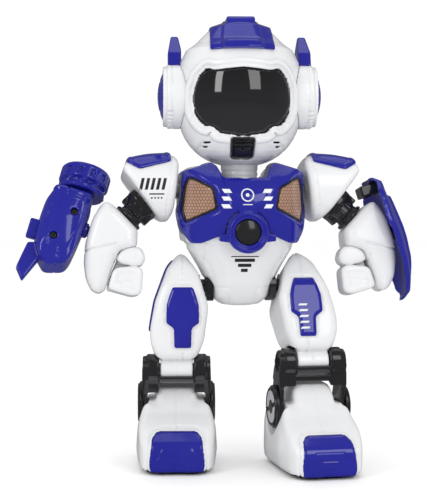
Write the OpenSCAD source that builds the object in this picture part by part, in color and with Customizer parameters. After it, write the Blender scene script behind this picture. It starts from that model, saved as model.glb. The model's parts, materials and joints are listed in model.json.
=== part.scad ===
// Posable toy robot: moulded shells, pinned joints, swappable arm tools.
// Built about its own middle line, facing -Y, then moved so that the
// origin lies on the floor under the centre of its overall box.

/* [Shells] */
// Wall thickness of the moulded shells
wall = 2.2; // [1.6:0.2:2.6]
// How far trim panels stand out from the shell under them
trim = 2.4; // [1.5:0.1:3]

/* [Head] */
// Height of the head's middle above the floor
head_z = 280; // [278:1:284]
// Widest radius of the helmet
head_r = 46.5; // [45:0.5:48]
// Turn of the head towards the robot's right at rest
head_turn = 4; // [0:1:10]
// Radius of the ear cups
ear_r = 24.3; // [20:0.1:25]
// Radius of the neck column
neck_r = 14; // [10:0.5:15]

/* [Torso] */
// Half width of the white torso shell
torso_w = 46; // [44:0.5:46.5]
// Radius of the curved chest, seen from above
chest_r = 50; // [49:0.5:52]
// Height of the shoulder shafts above the floor
shoulder_z = 207; // [206:0.5:208]
// Height of the chest button above the floor
button_z = 176.5; // [175:0.5:178]
// Radius of the chest button
button_r = 9.6; // [8:0.1:10]

/* [Arms] */
// Lean of the upper arm away from vertical
arm_lean = 47; // [45:1:48]
// Radius of the upper arm's neck
arm_neck_r = 9.7; // [9:0.1:10]
// Radius of the pegs that hold the arm tools
peg_r = 4; // [3:0.1:4.5]
// Radius of the cannon's muzzle ring
muzzle_r = 19; // [17:0.5:20]

/* [Legs] */
// Distance of each leg from the middle line
leg_x = 48; // [47.5:0.1:50]
// Toe-out angle of each leg
toe_out = 5; // [4:1:7]
// Height of the hip pins above the floor
hip_z = 135; // [134:0.5:136]
// Hip to knee distance
thigh_len = 62; // [60:1:63]
// Knee to ankle distance
shin_len = 35; // [34:0.5:36]
// Forward swing of the left thigh at rest
left_swing = 26; // [20:1:28]
// Forward swing of the right thigh at rest
right_swing = 9.5; // [5:0.5:12]
// Forward swing of both arms at rest
arm_swing = 8; // [0:1:12]
// Tilt of the cannon's tail towards the front
cannon_tilt = 15; // [0:1:20]

/* [Hidden] */
white = [0.93, 0.93, 0.94];
blue = [0.13, 0.12, 0.55];
black = [0.09, 0.09, 0.1];
smoke = [0.03, 0.03, 0.04];
amber = [0.62, 0.42, 0.32];
grey = [0.6, 0.61, 0.62];
steel = [0.75, 0.76, 0.78];
green = [0.1, 0.4, 0.2];

fit = 0.08;         // running clearance round pins and shafts
gap = 0.4;          // open gap between parts that move past each other
split_y = 4;        // plane where front and rear shells meet
ear_z = 278;
hip_pin_r = 5;
knee_pin_r = 3.5;
ankle_z = 45;
ankle_pin_r = 3.5;
wheel_r = 8.5;
shaft_r = 6;
sleeve_r = 12.8;
door_w = 24;
door_z = [160, 194];
speaker_z = 202.4;
switch_z = 150;
socket_z = 137;
screw_spots = [[-34, 212], [34, 212], [-33, 176], [33, 176]];
centre_shift = [18.6, 18.5, 0];

// ---------- helpers ----------

// Points of an arc about c, from angle a0 to a1 in n steps
function arc(c, r, a0, a1, n) =
    [for (i = [0:n]) let (a = a0 + (a1 - a0) * i / n) c + r * [cos(a), sin(a)]];

// A right-hand outline followed by its own mirror image
function both(points) = concat(points,
    [for (i = [len(points) - 1:-1:0]) if (points[i][0] > 0) [-points[i][0], points[i][1]]]);

// Front-view outline (x, z) pushed through from y0 to y1
module front_cut(points, y0, y1) {
    translate([0, y1, 0]) rotate([90, 0, 0]) linear_extrude(y1 - y0) polygon(points);
}

// The same with its straight edges moved out by grow
module front_form(points, y0, y1, grow) {
    translate([0, y1, 0]) rotate([90, 0, 0]) linear_extrude(y1 - y0)
        offset(delta = grow) polygon(points);
}

// Side-view outline (y, z) pushed through from x0 to x1
module side_form(points, x0, x1, grow) {
    translate([x0, 0, 0]) rotate([90, 0, 90]) linear_extrude(x1 - x0)
        offset(delta = grow) polygon(points);
}

// Round bar along X from x0 to x1
module bar_x(r, x0, x1) {
    translate([x0, 0, 0]) rotate([0, 90, 0]) cylinder(r = r, h = x1 - x0, $fn = 64);
}

// Round bar along Y from y0 to y1
module bar_y(r, y0, y1) {
    translate([0, y0, 0]) rotate([-90, 0, 0]) cylinder(r = r, h = y1 - y0, $fn = 64);
}

module slab(low, high) {
    translate(low) cube(high - low);
}

// Moves a part from the robot's own middle line to the shared origin
module seat() {
    translate(centre_shift) children();
}

// ---------- head ----------

// Half outline (radius, z) of the helmet, grown outwards by t
function helmet_outline(t) = concat(
    [[0, 52 + t], [13, 51 + t], [24, 47 + t], [33.5 + 0.7 * t, 37.5 + 0.7 * t],
     [40.5 + 0.8 * t, 32.5 + 0.6 * t], [head_r - 1.3 + t, 23], [head_r + t, 10], [head_r + t, -6]],
    arc([head_r - 40.5, -14], 40.5 + t, -6, -78, 9),
    [[0, -14 - (40.5 + t) * sin(78)]]);

mouth_outline = [[-8.6, -34.7], [8.6, -34.7], [7.4, -49], [-7.4, -49]];
visor_edge = both([[0, 16.8], [20.5, 14.8], [26.5, 16.5], [32.2, 10.4], [35.3, 1], [35.9, -6.6],
    [34.9, -16.5], [31.5, -22.5], [27.5, -26], [22.3, -25.8], [17, -31.2], [0, -33.5]]);

// Everything on the head is drawn round its own middle, then turned
module head_place() {
    rotate([0, 0, -head_turn]) translate([0, 0, head_z]) children();
}

module helmet_solid(t) {
    rotate_extrude($fn = 96) polygon(helmet_outline(t));
}

module helmet_skin(outer, inner) {
    difference() {
        helmet_solid(outer);
        helmet_solid(inner);
    }
}

module neck_hole() {
    cylinder(r = neck_r + gap, h = 80, center = true, $fn = 64);
}

module helmet_front() {
    frame_w = 5;
    color(white) head_place() {
        difference() {
            intersection() {
                helmet_skin(0, -wall);
                slab([-60, -60, -60], [60, split_y, 60]);
            }
            front_cut(visor_edge, -60, -10);
            translate([0, 0, -60]) neck_hole();
            for (side = [-1, 1]) mirror([side < 0 ? 1 : 0, 0, 0])
                for (row = [0:2]) translate([22 + 2 * row, -60, -38 - 3 * row])
                    cube([5, 60, 1.2]);
        }
        intersection() {
            helmet_skin(1.8, -0.2);
            difference() {
                front_form(visor_edge, -60, -8, frame_w);
                front_cut(visor_edge, -61, -7);
                front_form(mouth_outline, -61, -7, 0.2);
            }
        }
    }
}

module helmet_rear() {
    color(white) head_place() difference() {
        intersection() {
            helmet_skin(0, -wall);
            slab([-60, split_y, -60], [60, 60, 60]);
        }
        translate([0, 0, -60]) neck_hole();
        for (col = [-2:2]) translate([col * 6, 25, -24]) cube([2, 40, 14]);
    }
}

module visor() {
    color(smoke) head_place() intersection() {
        helmet_skin(-0.6, -3.4);
        front_form(visor_edge, -60, -10, -0.2);
    }
}

module crown_panel() {
    half = 24;
    color(blue) head_place() {
        difference() {
            intersection() {
                helmet_skin(trim, 0);
                slab([-half, -43.5, 30], [half, 44, 60]);
            }
            for (row = [0:4]) translate([-half - 1, 12 + 5.5 * row, 51 - 0.9 * row * row])
                cube([2 * half + 2, 1.4, 8]);
        }
        intersection() {
            helmet_skin(trim + 2.4, trim - 0.4);
            front_cut([[-15, 31], [15, 31], [11.5, 37.5], [-11.5, 37.5]], -46, -30);
        }
        difference() {
            side_form([[-22, 52], [-17, 57], [16, 57], [22, 51]], -10.5, 10.5, 0);
            helmet_solid(trim - 0.4);
        }
    }
}

module mouth_grille() {
    color(black) head_place() difference() {
        intersection() {
            helmet_skin(3, 0);
            front_cut(mouth_outline, -60, -10);
        }
        bar_y(1.2, -60, -30);
        for (row = [0:2]) translate([-5.5, -60, -38.6 - 3 * row]) cube([11, 26, 1]);
        translate([0, -38.6, -42]) bar_y(1.4, -20, 20);
    }
}

module ear_cup(side) {
    out = 58;
    mirror([side < 0 ? 1 : 0, 0, 0]) translate([0, 0, ear_z - head_z]) difference() {
        union() {
            bar_x(ear_r, 34, out - 3);
            bar_x(ear_r - 1.8, out - 4, out);
        }
        bar_x(18.4, out - 5, out + 1);
        translate([0, 0, head_z - ear_z]) helmet_solid(0);
        for (a = [215:13:325]) rotate([a, 0, 0]) translate([50, ear_r - 1, -0.7]) cube([9, 3, 1.4]);
    }
}

module ear_cups() {
    color(white) head_place() for (side = [-1, 1]) ear_cup(side);
}

module ear_discs() {
    dome_r = 40;
    rim = 17.8;
    rise = dome_r - sqrt(dome_r * dome_r - rim * rim);
    color(blue) head_place() for (side = [-1, 1]) mirror([side < 0 ? 1 : 0, 0, 0])
        translate([53, 0, ear_z - head_z]) rotate([0, 90, 0]) difference() {
            rotate_extrude($fn = 64) polygon(concat([[0, 0], [rim, 0]],
                arc([0, 9 - dome_r], dome_r, 90 - asin(rim / dome_r), 90, 8)));
            rotate_extrude($fn = 64) translate([11, 9 - rise * 0.15]) square([1.2, 6]);
        }
}

module antennas() {
    color(blue) head_place() for (side = [-1, 1]) mirror([side < 0 ? 1 : 0, 0, 0])
        difference() {
            intersection() {
                side_form([[-9, 18], [-4, 31], [13, 45], [19, 45], [17, 30], [12, 18]], 42, 56, 0);
                front_cut([[44, 18], [54, 18], [54, 32], [51.4, 46], [46.2, 46], [44, 34]], -20, 30);
            }
            translate([0, 0, ear_z - head_z]) bar_x(ear_r, 30, 60);
            helmet_solid(0);
        }
}

module eye_board() {
    color(green) head_place() {
        slab([-26, -32, -16], [26, -30.4, 4]);
        for (x = [-14, 14]) translate([x, 0, -6]) bar_y(2.5, -36, -32);
        for (x = [-20, 20]) slab([x - 3, -30.4, -10], [x + 3, -27, -2]);
    }
}

module neck() {
    color(white) difference() {
        union() {
            translate([0, 0, 205]) cylinder(r = neck_r, h = 26, $fn = 64);
            translate([0, 0, 205]) cylinder(r = neck_r + 3, h = 3, $fn = 64);
            intersection() {
                translate([0, 0, 226.5]) cylinder(r = neck_r + 6, h = 30, $fn = 64);
                translate([0, 0, head_z]) difference() {
                    helmet_solid(-wall);
                    helmet_solid(-wall - 3);
                }
            }
        }
        translate([0, 0, 200]) cylinder(r = neck_r - 3, h = 40, $fn = 64);
    }
}

// ---------- torso ----------

chest_outline = both([[0, 214], [17, 214], [24, 226], [36, 226], [torso_w, 219], [torso_w, 190],
    [44, 180], [42.6, 168]]);
torso_side = [[-20, 226], [-33, 216], [-43, 202], [-44.5, 190], [-43, 176], [-34, 167], [-30, 152],
    [-24, 138], [-17, 127], [-10, 119], [12, 119], [20, 130], [28, 148], [33, 168], [36, 190],
    [34, 214], [24, 226]];
abdomen_outline = [[0, 176], [41.6, 176], [42, 169], [38, 162], [31.4, 151], [27.8, 144],
    [22, 127], [15, 121.4], [8, 120], [0, 120]];
plate_outline = both([[0, 216], [10, 219], [24, 229], [30, 226.5], [46, 221], [46.2, 202], [50.4, 190],
    [50.4, 183], [40, 168], [33, 168], [20.3, 173.5], [17, 169], [0, 169]]);
window_outline = [[22.3, 193.5], [25, 209], [39, 216.5], [46.5, 217], [52, 210], [52, 190],
    [46.8, 183]];

// Chest grown outwards by t: curved in plan, shaped by its front and side outlines
module chest_form(t) {
    intersection() {
        translate([0, 6, 160]) cylinder(r = chest_r + t, h = 80, $fn = 128);
        front_form(chest_outline, -60, 60, t);
        side_form(torso_side, -60, 60, t);
    }
}

module abdomen_form(t) {
    intersection() {
        rotate_extrude($fn = 96) difference() {
            offset(delta = t) polygon(abdomen_outline);
            translate([-20, 0]) square([20, 300]);
        }
        side_form(torso_side, -60, 60, t);
    }
}

module torso_solid(t) {
    chest_form(t);
    abdomen_form(t);
}

module torso_holes() {
    translate([0, 0, 225]) cylinder(r = neck_r + fit, h = 60, center = true, $fn = 64);
    translate([0, 0, shoulder_z]) bar_x(shaft_r, -60, 60);
    hip_frames() bar_x(hip_pin_r, -31, 0);
}

module torso_front_shell() {
    color(white) difference() {
        intersection() {
            difference() {
                torso_solid(0);
                torso_solid(-wall);
            }
            slab([-60, -60, 100], [60, split_y, 240]);
        }
        torso_holes();
        translate([0, 0, button_z]) bar_y(sleeve_r, -60, -30);
    }
    color(white) for (spot = screw_spots) translate([spot[0], 0, spot[1]]) difference() {
        bar_y(3.2, -27, 30);
        bar_y(1.2, 18, 31);
    }
}

module torso_rear_shell() {
    color(white) difference() {
        intersection() {
            difference() {
                torso_solid(0);
                torso_solid(-wall);
            }
            slab([-60, split_y, 100], [60, 60, 240]);
        }
        torso_holes();
        // battery opening, speaker holes, switch slot, charging hole, screw holes
        slab([-door_w, 20, door_z[0]], [door_w, 60, door_z[1]]);
        for (ring = [1:2], step = [0:6 * ring - 1]) let (a = 60 * step / ring)
            translate([3.2 * ring * cos(a), 0, speaker_z + 3.2 * ring * sin(a)]) bar_y(0.9, 20, 60);
        slab([-6, 15, switch_z - 3], [6, 60, switch_z + 3]);
        translate([0, 0, socket_z]) bar_y(3.1, 8, 60);
        for (spot = screw_spots) translate([spot[0], 0, spot[1]]) {
            bar_y(1.7, 10, 60);
            bar_y(3.2, 33, 60);
        }
    }
}

module chest_plate() {
    color(blue) difference() {
        intersection() {
            difference() {
                chest_form(trim + 0.8);
                chest_form(0);
            }
            front_cut(plate_outline, -60, -2);
        }
        for (side = [0, 1]) mirror([side, 0, 0]) front_cut(window_outline, -60, -9);
        translate([0, 0, button_z]) bar_y(15.7, -60, -30);
        translate([0, 0, shoulder_z]) bar_x(shaft_r + gap, -60, 60);
        translate([0, 0, 200]) cylinder(r = neck_r + 6, h = 60, $fn = 64);
    }
}

module chest_windows() {
    color(amber) for (side = [0, 1]) mirror([side, 0, 0]) intersection() {
        difference() {
            chest_form(trim - 0.6);
            chest_form(0);
        }
        front_form(window_outline, -60, -9.3, -0.3);
    }
}

module button_bezel() {
    color(blue) translate([0, 0, button_z]) difference() {
        union() {
            bar_y(sleeve_r - 0.1, -48, -36);
            difference() {
                union() {
                    bar_y(15.5, -49, -40);
                    bar_y(13.5, -50.4, -48);
                }
                translate([0, 0, -button_z]) chest_form(0);
            }
        }
        bar_y(button_r + fit, -60, -30);
    }
}

module chest_button() {
    dome_r = 22;
    drop = dome_r - sqrt(dome_r * dome_r - button_r * button_r);
    color(black) translate([0, -50, button_z]) rotate([-90, 0, 0]) rotate_extrude($fn = 64)
        polygon(concat([[0, 12], [button_r, 12]],
            arc([0, dome_r - drop], dome_r, 270 + asin(button_r / dome_r), 270, 8)));
}

module battery_pack() {
    cell_r = 7;
    color(green) for (col = [-1:1]) translate([col * 14.4, 22, 161.5])
        cylinder(r = cell_r, h = 31, $fn = 48);
}

module battery_door() {
    edge = 0.3;
    color(white) difference() {
        intersection() {
            difference() {
                torso_solid(0);
                torso_solid(-wall);
            }
            slab([edge - door_w, 20, door_z[0] + edge], [door_w - edge, 60, door_z[1] - edge]);
        }
        translate([0, 0, 188]) bar_y(1.6, 20, 60);
    }
}

module main_board() {
    color(green) {
        slab([-30, -20, 171], [30, -18.4, 203]);
        slab([-4, -34, button_z - 4], [4, -20, button_z + 4]);
        for (x = [-22, 12]) slab([x, -18.4, 178], [x + 11, -16, 188]);
    }
}

module speaker() {
    color(grey) translate([0, 0, speaker_z]) {
        bar_y(9.2, 26, 28.6);
        bar_y(5, 20, 26);
    }
}

module rear_screws() {
    color(steel) for (spot = screw_spots) translate([spot[0], 0, spot[1]]) difference() {
        union() {
            bar_y(2.9, 33, 34.6);
            bar_y(1.15, 20, 33);
        }
        slab([-0.4, 34, -2], [0.4, 35, 2]);
        slab([-2, 34, -0.4], [2, 35, 0.4]);
    }
}

module hip_brackets() {
    color(black) {
        difference() {
            hip_frames() {
                bar_x(11.5, -28, -22.6);
                bar_x(8.5, -23, -21.6);
            }
            abdomen_form(0);
        }
        hip_frames() {
            bar_x(hip_pin_r, -30, 4.2);
            bar_x(hip_pin_r + 1.5, 4.2, 6);
        }
    }
}

module shoulder_shafts() {
    color(steel) translate([0, 0, shoulder_z]) for (side = [0, 1]) mirror([side, 0, 0]) {
        bar_x(shaft_r, 38, 60);
        bar_x(shaft_r + 3, 40, 42.6);
        bar_x(shaft_r + 2, 60, 61.6);
    }
}

module charging_socket() {
    color(black) difference() {
        union() {
            slab([-4.5, 8, socket_z - 4.5], [4.5, 18, socket_z + 4.5]);
            translate([0, 0, socket_z]) bar_y(3, 18, 22.6);
        }
        translate([0, 0, socket_z]) bar_y(1.75, 12, 30);
    }
}

module power_switch() {
    color(black) {
        slab([-5.5, 23.4, switch_z - 2.6], [-0.5, 30.4, switch_z + 2.6]);
        slab([-9, 21.6, switch_z - 4.5], [3, 23.4, switch_z + 4.5]);
    }
}

// ---------- arms ----------

pad_outline = [[47.2, 226], [50, 232], [55, 235], [70, 233.5], [85, 229], [90, 220], [66, 188.5],
    [60, 183.5], [55, 184], [52, 189]];
cap_outline = [[53, 242], [53.5, 226], [77.4, 219.4], [86.5, 225], [88, 242]];
elbow_at = [85.5, 0, 185.3];
cuff_outline = [[78, 176.2], [99.6, 199.3], [103.5, 199], [112, 184], [116.7, 168], [118, 153],
    [116.7, 141], [112, 130], [106.5, 127], [102, 131.5], [98, 146], [92, 160], [79, 163]];
cuff_side = [[-12, 200], [-17, 190], [-18, 165], [-15, 135], [-10, 127], [10, 127], [15, 135],
    [18, 165], [17, 190], [12, 200]];
socket_at = [114.3, 0, 176];
socket_tilt = 16.3;

// Arm drawn on the robot's left; side -1 mirrors it to the right
module arm_place(side) {
    mirror([side < 0 ? 1 : 0, 0, 0]) translate([0, 0, shoulder_z]) rotate([-arm_swing, 0, 0])
        translate([0, 0, -shoulder_z]) children();
}

// Frame at the end of the upper arm, -Z running down along the forearm's pin
module elbow_frame() {
    translate(elbow_at) rotate([0, -arm_lean, 0]) children();
}

// Frame of the tool socket, +X pointing straight out of the forearm
module socket_frame() {
    translate(socket_at) rotate([0, -socket_tilt, 0]) children();
}

module pad_form(t) {
    intersection() {
        front_form(pad_outline, -40, 40, t);
        translate([0, 0, shoulder_z + 1]) bar_x(28 + t, 40, 100);
    }
}

module shoulder_shell(side) {
    color(white) arm_place(side) difference() {
        pad_form(0);
        pad_form(-wall);
        translate([0, 0, shoulder_z]) bar_x(shaft_r + fit, 40, 56);
        elbow_frame() cylinder(r = 8, h = 30, $fn = 48);
    }
}

module shoulder_cap(side) {
    color(blue) arm_place(side) intersection() {
        difference() {
            pad_form(trim - 0.8);
            pad_form(0);
        }
        front_cut(cap_outline, -40, 40);
    }
}

module upper_arm(side) {
    color(black) arm_place(side) {
        difference() {
            elbow_frame() {
                cylinder(r = 11.5, h = 2.4, $fn = 64);
                cylinder(r = arm_neck_r, h = 8, $fn = 64);
                translate([0, 0, 7]) cylinder(r1 = arm_neck_r, r2 = 13.4, h = 6, $fn = 64);
                translate([0, 0, 13]) cylinder(r = 13.4, h = 12, $fn = 64);
            }
            pad_form(0);
        }
        elbow_frame() {
            translate([0, 0, 4]) cylinder(r = 8, h = 17, $fn = 48);
            translate([0, 0, -13]) cylinder(r = 6, h = 13, $fn = 48);
            translate([0, 0, -14.5]) cylinder(r = 8, h = 1.6, $fn = 48);
        }
    }
}

module cuff_form(t) {
    intersection() {
        front_form(cuff_outline, -40, 40, t);
        side_form(cuff_side, 60, 130, t);
    }
}

module forearm_shell(side) {
    color(white) arm_place(side) difference() {
        cuff_form(0);
        cuff_form(-wall);
        elbow_frame() translate([0, 0, -8]) cylinder(r = 6 + fit, h = 10, $fn = 48);
        socket_frame() bar_x(peg_r + fit, -8, 6);
        // seam groove round the cuff
        difference() {
            translate([110, -40, 162]) rotate([0, 12, 0]) cube([12, 80, 0.8]);
            cuff_form(-0.8);
        }
    }
}

module hand(side) {
    finger_gap = 0.9;
    color(white) arm_place(side) difference() {
        union() {
            front_cut([[80, 162.2], [91.3, 159.6], [97.4, 145.8], [101.4, 132], [96, 131], [79, 127],
                [77, 131], [77, 147], [79, 149]], -6, 12);
            front_cut([[77, 147.6], [97, 147.6], [101.4, 132], [82, 126], [77.5, 128]], -15, -5);
            front_cut([[91.3, 159.6], [80, 162.2], [76.6, 161], [75, 157], [76, 151], [80, 149],
                [94.8, 152.4]], -14, -5);
        }
        for (row = [0:2]) translate([70, -16, 132.4 + 4.8 * row]) cube([24, 4, finger_gap]);
    }
}

// ---------- cannon on the right arm ----------

cannon_outline = [[5, 26.6], [3.5, 20], [2, 12], [5, -15], [7, -27], [10, -33], [24, -38], [31, -30],
    [37, -19], [38.3, 0], [37.3, 13], [32, 24], [28, 26.6]];
cannon_side = [[-13, 27], [-17, 20], [-18.5, 0], [-16, -20], [-12, -38], [12, -38], [16, -20],
    [18.5, 0], [17, 20], [13, 27]];
fin_outline = [[28, -29], [33, -20], [41, -22], [44, -43], [37, -52]];
muzzle_x = 13.6;

module tool_place(side) {
    arm_place(side) socket_frame() children();
}

module cannon_place() {
    tool_place(-1) rotate([-cannon_tilt, 0, 0]) children();
}

module cannon_body() {
    color(blue) cannon_place() {
        difference() {
            intersection() {
                front_cut(cannon_outline, -20, 20);
                translate([20, 0, -60]) cylinder(r = 18.6, h = 100, $fn = 96);
                side_form(cannon_side, 0, 40, 0);
            }
            intersection() {
                front_form(cannon_outline, -20, 20, -wall);
                translate([20, 0, -60]) cylinder(r = 18.6 - wall, h = 100, $fn = 96);
                side_form(cannon_side, 0, 40, -wall);
            }
            for (spot = [[14, 6], [24, -16]]) translate([spot[0], 0, spot[1]]) bar_y(2.6, -20, -10);
            translate([30, -3.6, -18]) cube([12, 7.2, 16]);
        }
        front_cut(fin_outline, -4, 4);
        bar_x(peg_r, -7, 6);
        bar_x(peg_r + 1.5, 0.8, 6);
    }
}

module cannon_muzzle() {
    ring_h = 10.5;
    color(blue) cannon_place() translate([muzzle_x, 0, 26.8]) difference() {
        rotate_extrude($fn = 96) polygon([[0, 0], [17, 0], [17.6, 1.2], [17.6, 3.4], [15.5, 5],
            [15.5, 6.6], [muzzle_r, 8], [muzzle_r, 7 + ring_h], [muzzle_r - 1.6, 9 + ring_h],
            [12, 9 + ring_h], [11, 7 + ring_h], [9, 7 + ring_h], [9, 6], [0, 6]]);
        for (step = [0:11]) rotate([0, 0, 30 * step]) translate([muzzle_r - 1.6, -1.6, 10])
            cube([4, 3.2, 5]);
    }
}

module cannon_trigger() {
    color(blue) cannon_place() translate([33, -3.2, -17.6]) {
        cube([11, 6.4, 15.2]);
        translate([-2, -1.4, 3]) cube([2, 9.2, 9.2]);
    }
}

// ---------- shield on the left arm ----------

shield_profile = [[39.6, 42], [45.6, 37], [48, 22], [50, 0], [50, -9], [48.6, -24], [44.6, -40],
    [41.2, -49], [35, -54.5]];
shield_outline = [[0, -55], [-16, -46], [-29, -20], [-32, 8], [-26, 30], [-14, 42], [14, 42],
    [26, 30], [32, 8], [29, -20], [16, -46]];
shield_wall = 2.8;

module shield_skin(outer, inner) {
    translate([-40.4, 0, 0]) rotate_extrude($fn = 128) polygon(concat(
        [for (p = shield_profile) [p[0] + outer, p[1]]],
        [for (i = [len(shield_profile) - 1:-1:0]) [shield_profile[i][0] + inner, shield_profile[i][1]]]));
}

module shield_plate() {
    color(blue) tool_place(1) {
        intersection() {
            shield_skin(0, -shield_wall);
            side_form(shield_outline, -15, 20, 0);
        }
        intersection() {
            shield_skin(1.8, -0.4);
            side_form([[0, -44], [-13, -30], [-18, 4], [-10, 26], [10, 26], [18, 4], [13, -30]],
                -15, 20, 0);
        }
    }
}

module shield_bracket() {
    color(black) tool_place(1) {
        difference() {
            union() {
                slab([-12.5, -9, 29.5], [4, 9, 38]);
                slab([0.8, -8, -8], [8, 8, 8]);
            }
            slab([-10.5, -7, 28], [-2, 7, 36]);
            shield_skin(60, -shield_wall);
        }
        bar_x(peg_r, -7, 2);
    }
}

// ---------- legs ----------

function swing(side) = side > 0 ? left_swing : right_swing;
function knee_y(side) = -thigh_len * sin(swing(side));
function knee_z(side) = hip_z - thigh_len * cos(swing(side));
function slope(side) = acos((knee_z(side) - ankle_z) / shin_len);
function ankle_y(side) = knee_y(side) + shin_len * sin(slope(side));

thigh_front = [[-5, 25.5], [-11.4, 16], [-16, 9], [-19, 0], [-21, -8], [-23, -14], [-23.5, -20],
    [-20.5, -42], [-17, -51], [-12.5, -58.4], [12.5, -58.4], [17, -51], [19.7, -42], [19.7, -33],
    [16, -13], [7, 12], [-1, 24]];
thigh_side = [[-8, 26], [8, 26], [18, 18], [22, 6], [22, -10], [17, -44], [13, -58], [-13, -58],
    [-17, -50], [-22, -25], [-23, -4], [-18, 16]];
panel_outline = [[-12.4, -3], [3.4, -3], [7.6, -17], [7.9, -30], [2.3, -34], [1.8, -48.5],
    [-10.8, -48.5], [-11.3, -34], [-16.9, -30], [-16.6, -17]];
crescent_outline = [[-6, 20], [8, 17], [13, 4], [14, -12], [9, -30], [2, -36], [-7, -28],
    [-13, -10], [-12, 8]];
foot_plan = [[-22, -60], [22, -60], [27, -50], [31.5, -25], [31.5, 10], [27, 30], [18, 35],
    [-18, 35], [-27, 30], [-31.5, 10], [-31.5, -25], [-27, -50]];
foot_front = [[-9, 64.5], [9, 64.5], [13.5, 62.5], [15.3, 57], [15.6, 49.4], [22, 48.9],
    [24.5, 46.5], [29.8, 30], [31.5, 14], [29, 4], [27, 1.2], [-27, 1.2], [-29, 4], [-31.5, 14],
    [-29.8, 30], [-24.5, 46.5], [-22, 48.9], [-15.6, 49.4], [-15.3, 57], [-13.5, 62.5]];
foot_side = [[-60, 1.2], [-57, 21], [-44, 31], [-27, 41.5], [-14.5, 58.5], [-7, 64.5], [7, 64.5],
    [14.5, 58.5], [26, 46], [33, 30], [35, 16], [34, 1.2]];
toe_outline = [[-14.5, 30.5], [14.5, 30.5], [18.5, 26.5], [20.6, 8], [19.4, 1.6], [-19.4, 1.6],
    [-20.6, 8], [-18.5, 26.5]];
ear_in = 21.9;
ear_out = 25.4;
wheel_y = 12;

// Leg drawn with +X outwards, then toed out on its own side
module leg_frame(side) {
    translate([side * leg_x, 0, 0]) rotate([0, 0, side * toe_out])
        mirror([side < 0 ? 1 : 0, 0, 0]) children();
}

module hip_frames() {
    for (side = [-1, 1]) leg_frame(side) translate([0, 0, hip_z]) children();
}

module thigh_place(side) {
    leg_frame(side) translate([0, 0, hip_z]) rotate([-swing(side), 0, 0]) children();
}

module shin_place(side) {
    leg_frame(side) translate([0, knee_y(side), knee_z(side)]) rotate([slope(side), 0, 0])
        children();
}

module foot_place(side) {
    leg_frame(side) translate([0, ankle_y(side), 0]) children();
}

module thigh_form(t) {
    intersection() {
        front_form(thigh_front, -40, 40, t);
        side_form(thigh_side, -40, 40, t);
    }
}

module thigh_shell(side) {
    knuckle_w = 12;
    color(white) thigh_place(side) {
        difference() {
            union() {
                difference() {
                    thigh_form(0);
                    thigh_form(-wall);
                }
                bar_x(hip_pin_r + 3.5, -18, 3.8);
            }
            bar_x(hip_pin_r + fit, -30, 4);
            translate([0, 0, -thigh_len]) {
                bar_x(12, knuckle_w + 0.6, 40);
                bar_x(12, -40, -knuckle_w - 0.6);
                bar_x(8, -knuckle_w - 1, knuckle_w + 1);
            }
            // seam down the middle of the front and back
            difference() {
                slab([-4.8, -40, -60], [-4.2, 40, 30]);
                thigh_form(-0.7);
            }
        }
        translate([0, 0, -thigh_len]) difference() {
            bar_x(8.6, -knuckle_w, knuckle_w);
            bar_x(knee_pin_r + fit, -20, 20);
        }
    }
}

module thigh_panels(side) {
    color(blue) thigh_place(side) {
        intersection() {
            difference() {
                thigh_form(trim - 0.4);
                thigh_form(0);
            }
            front_cut(panel_outline, -40, -6);
        }
        intersection() {
            difference() {
                thigh_form(trim - 0.8);
                thigh_form(0);
            }
            side_form(crescent_outline, -3, 40, 0);
        }
    }
}

module knee_pin(side) {
    color(black) shin_place(side) {
        bar_x(knee_pin_r, -23, 23);
        for (end = [0, 1]) mirror([end, 0, 0]) difference() {
            bar_x(7, 22.5, 24.5);
            bar_x(3.4, 23.8, 26);
        }
    }
}

module shin(side) {
    color(black) shin_place(side) difference() {
        union() for (end = [0, 1]) mirror([end, 0, 0]) {
            bar_x(10.5, 13, 22.4);
            bar_x(9, 13, ear_out);
            translate([0, 0, -shin_len]) bar_x(13, ear_in, ear_out);
            side_form([[-9, 0], [9, 0], [13, -shin_len], [-13, -shin_len]], ear_in, ear_out, 0);
            side_form([[-8.5, -6.5], [8.5, -6.5], [11, -16], [-11, -16]], 13, ear_out, 0);
            slab([-0.1, -8, -13.4], [13.2, 8, -9.2]);
            // saddle in front of the knee
            difference() {
                bar_x(11.9, -0.1, 13.2);
                bar_x(9.2, -1, 14);
                slab([-1, -20, 0], [14, 20, 20]);
                slab([-1, 0, -9.2], [14, 20, 1]);
            }
        }
        bar_x(knee_pin_r, -23, 23);
        for (end = [0, 1]) mirror([end, 0, 0]) bar_x(7.1, 22.5, 30);
        translate([0, 0, -shin_len]) {
            bar_x(ankle_pin_r, -30, 30);
            bar_x(21.8, -ear_in + 0.1, ear_in - 0.1);
        }
    }
}

module ankle_discs(side) {
    disc_r = 16.2;
    color(black) shin_place(side) translate([0, 0, -shin_len])
        for (end = [0, 1]) mirror([end, 0, 0]) {
            difference() {
                union() {
                    bar_x(disc_r, ear_out, ear_out + 2.6);
                    bar_x(disc_r - 1.6, ear_out + 2.6, ear_out + 4);
                }
                difference() {
                    bar_x(12.4, ear_out + 3.2, ear_out + 5);
                    bar_x(5, ear_out + 3, ear_out + 6);
                }
            }
            bar_x(ankle_pin_r, 18, ear_out);
        }
}

module foot_form(t) {
    intersection() {
        linear_extrude(70) offset(delta = t) polygon(foot_plan);
        front_form(foot_front, -80, 50, t);
        side_form(foot_side, -40, 40, t);
    }
}

// Room at both sides of the foot for the shin and the ankle discs
module ankle_recess(t) {
    for (end = [0, 1]) mirror([end, 0, 0]) translate([0, 0, ankle_z])
        bar_x(20.6 + t, ear_in - 0.5 - t, 40);
}

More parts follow.
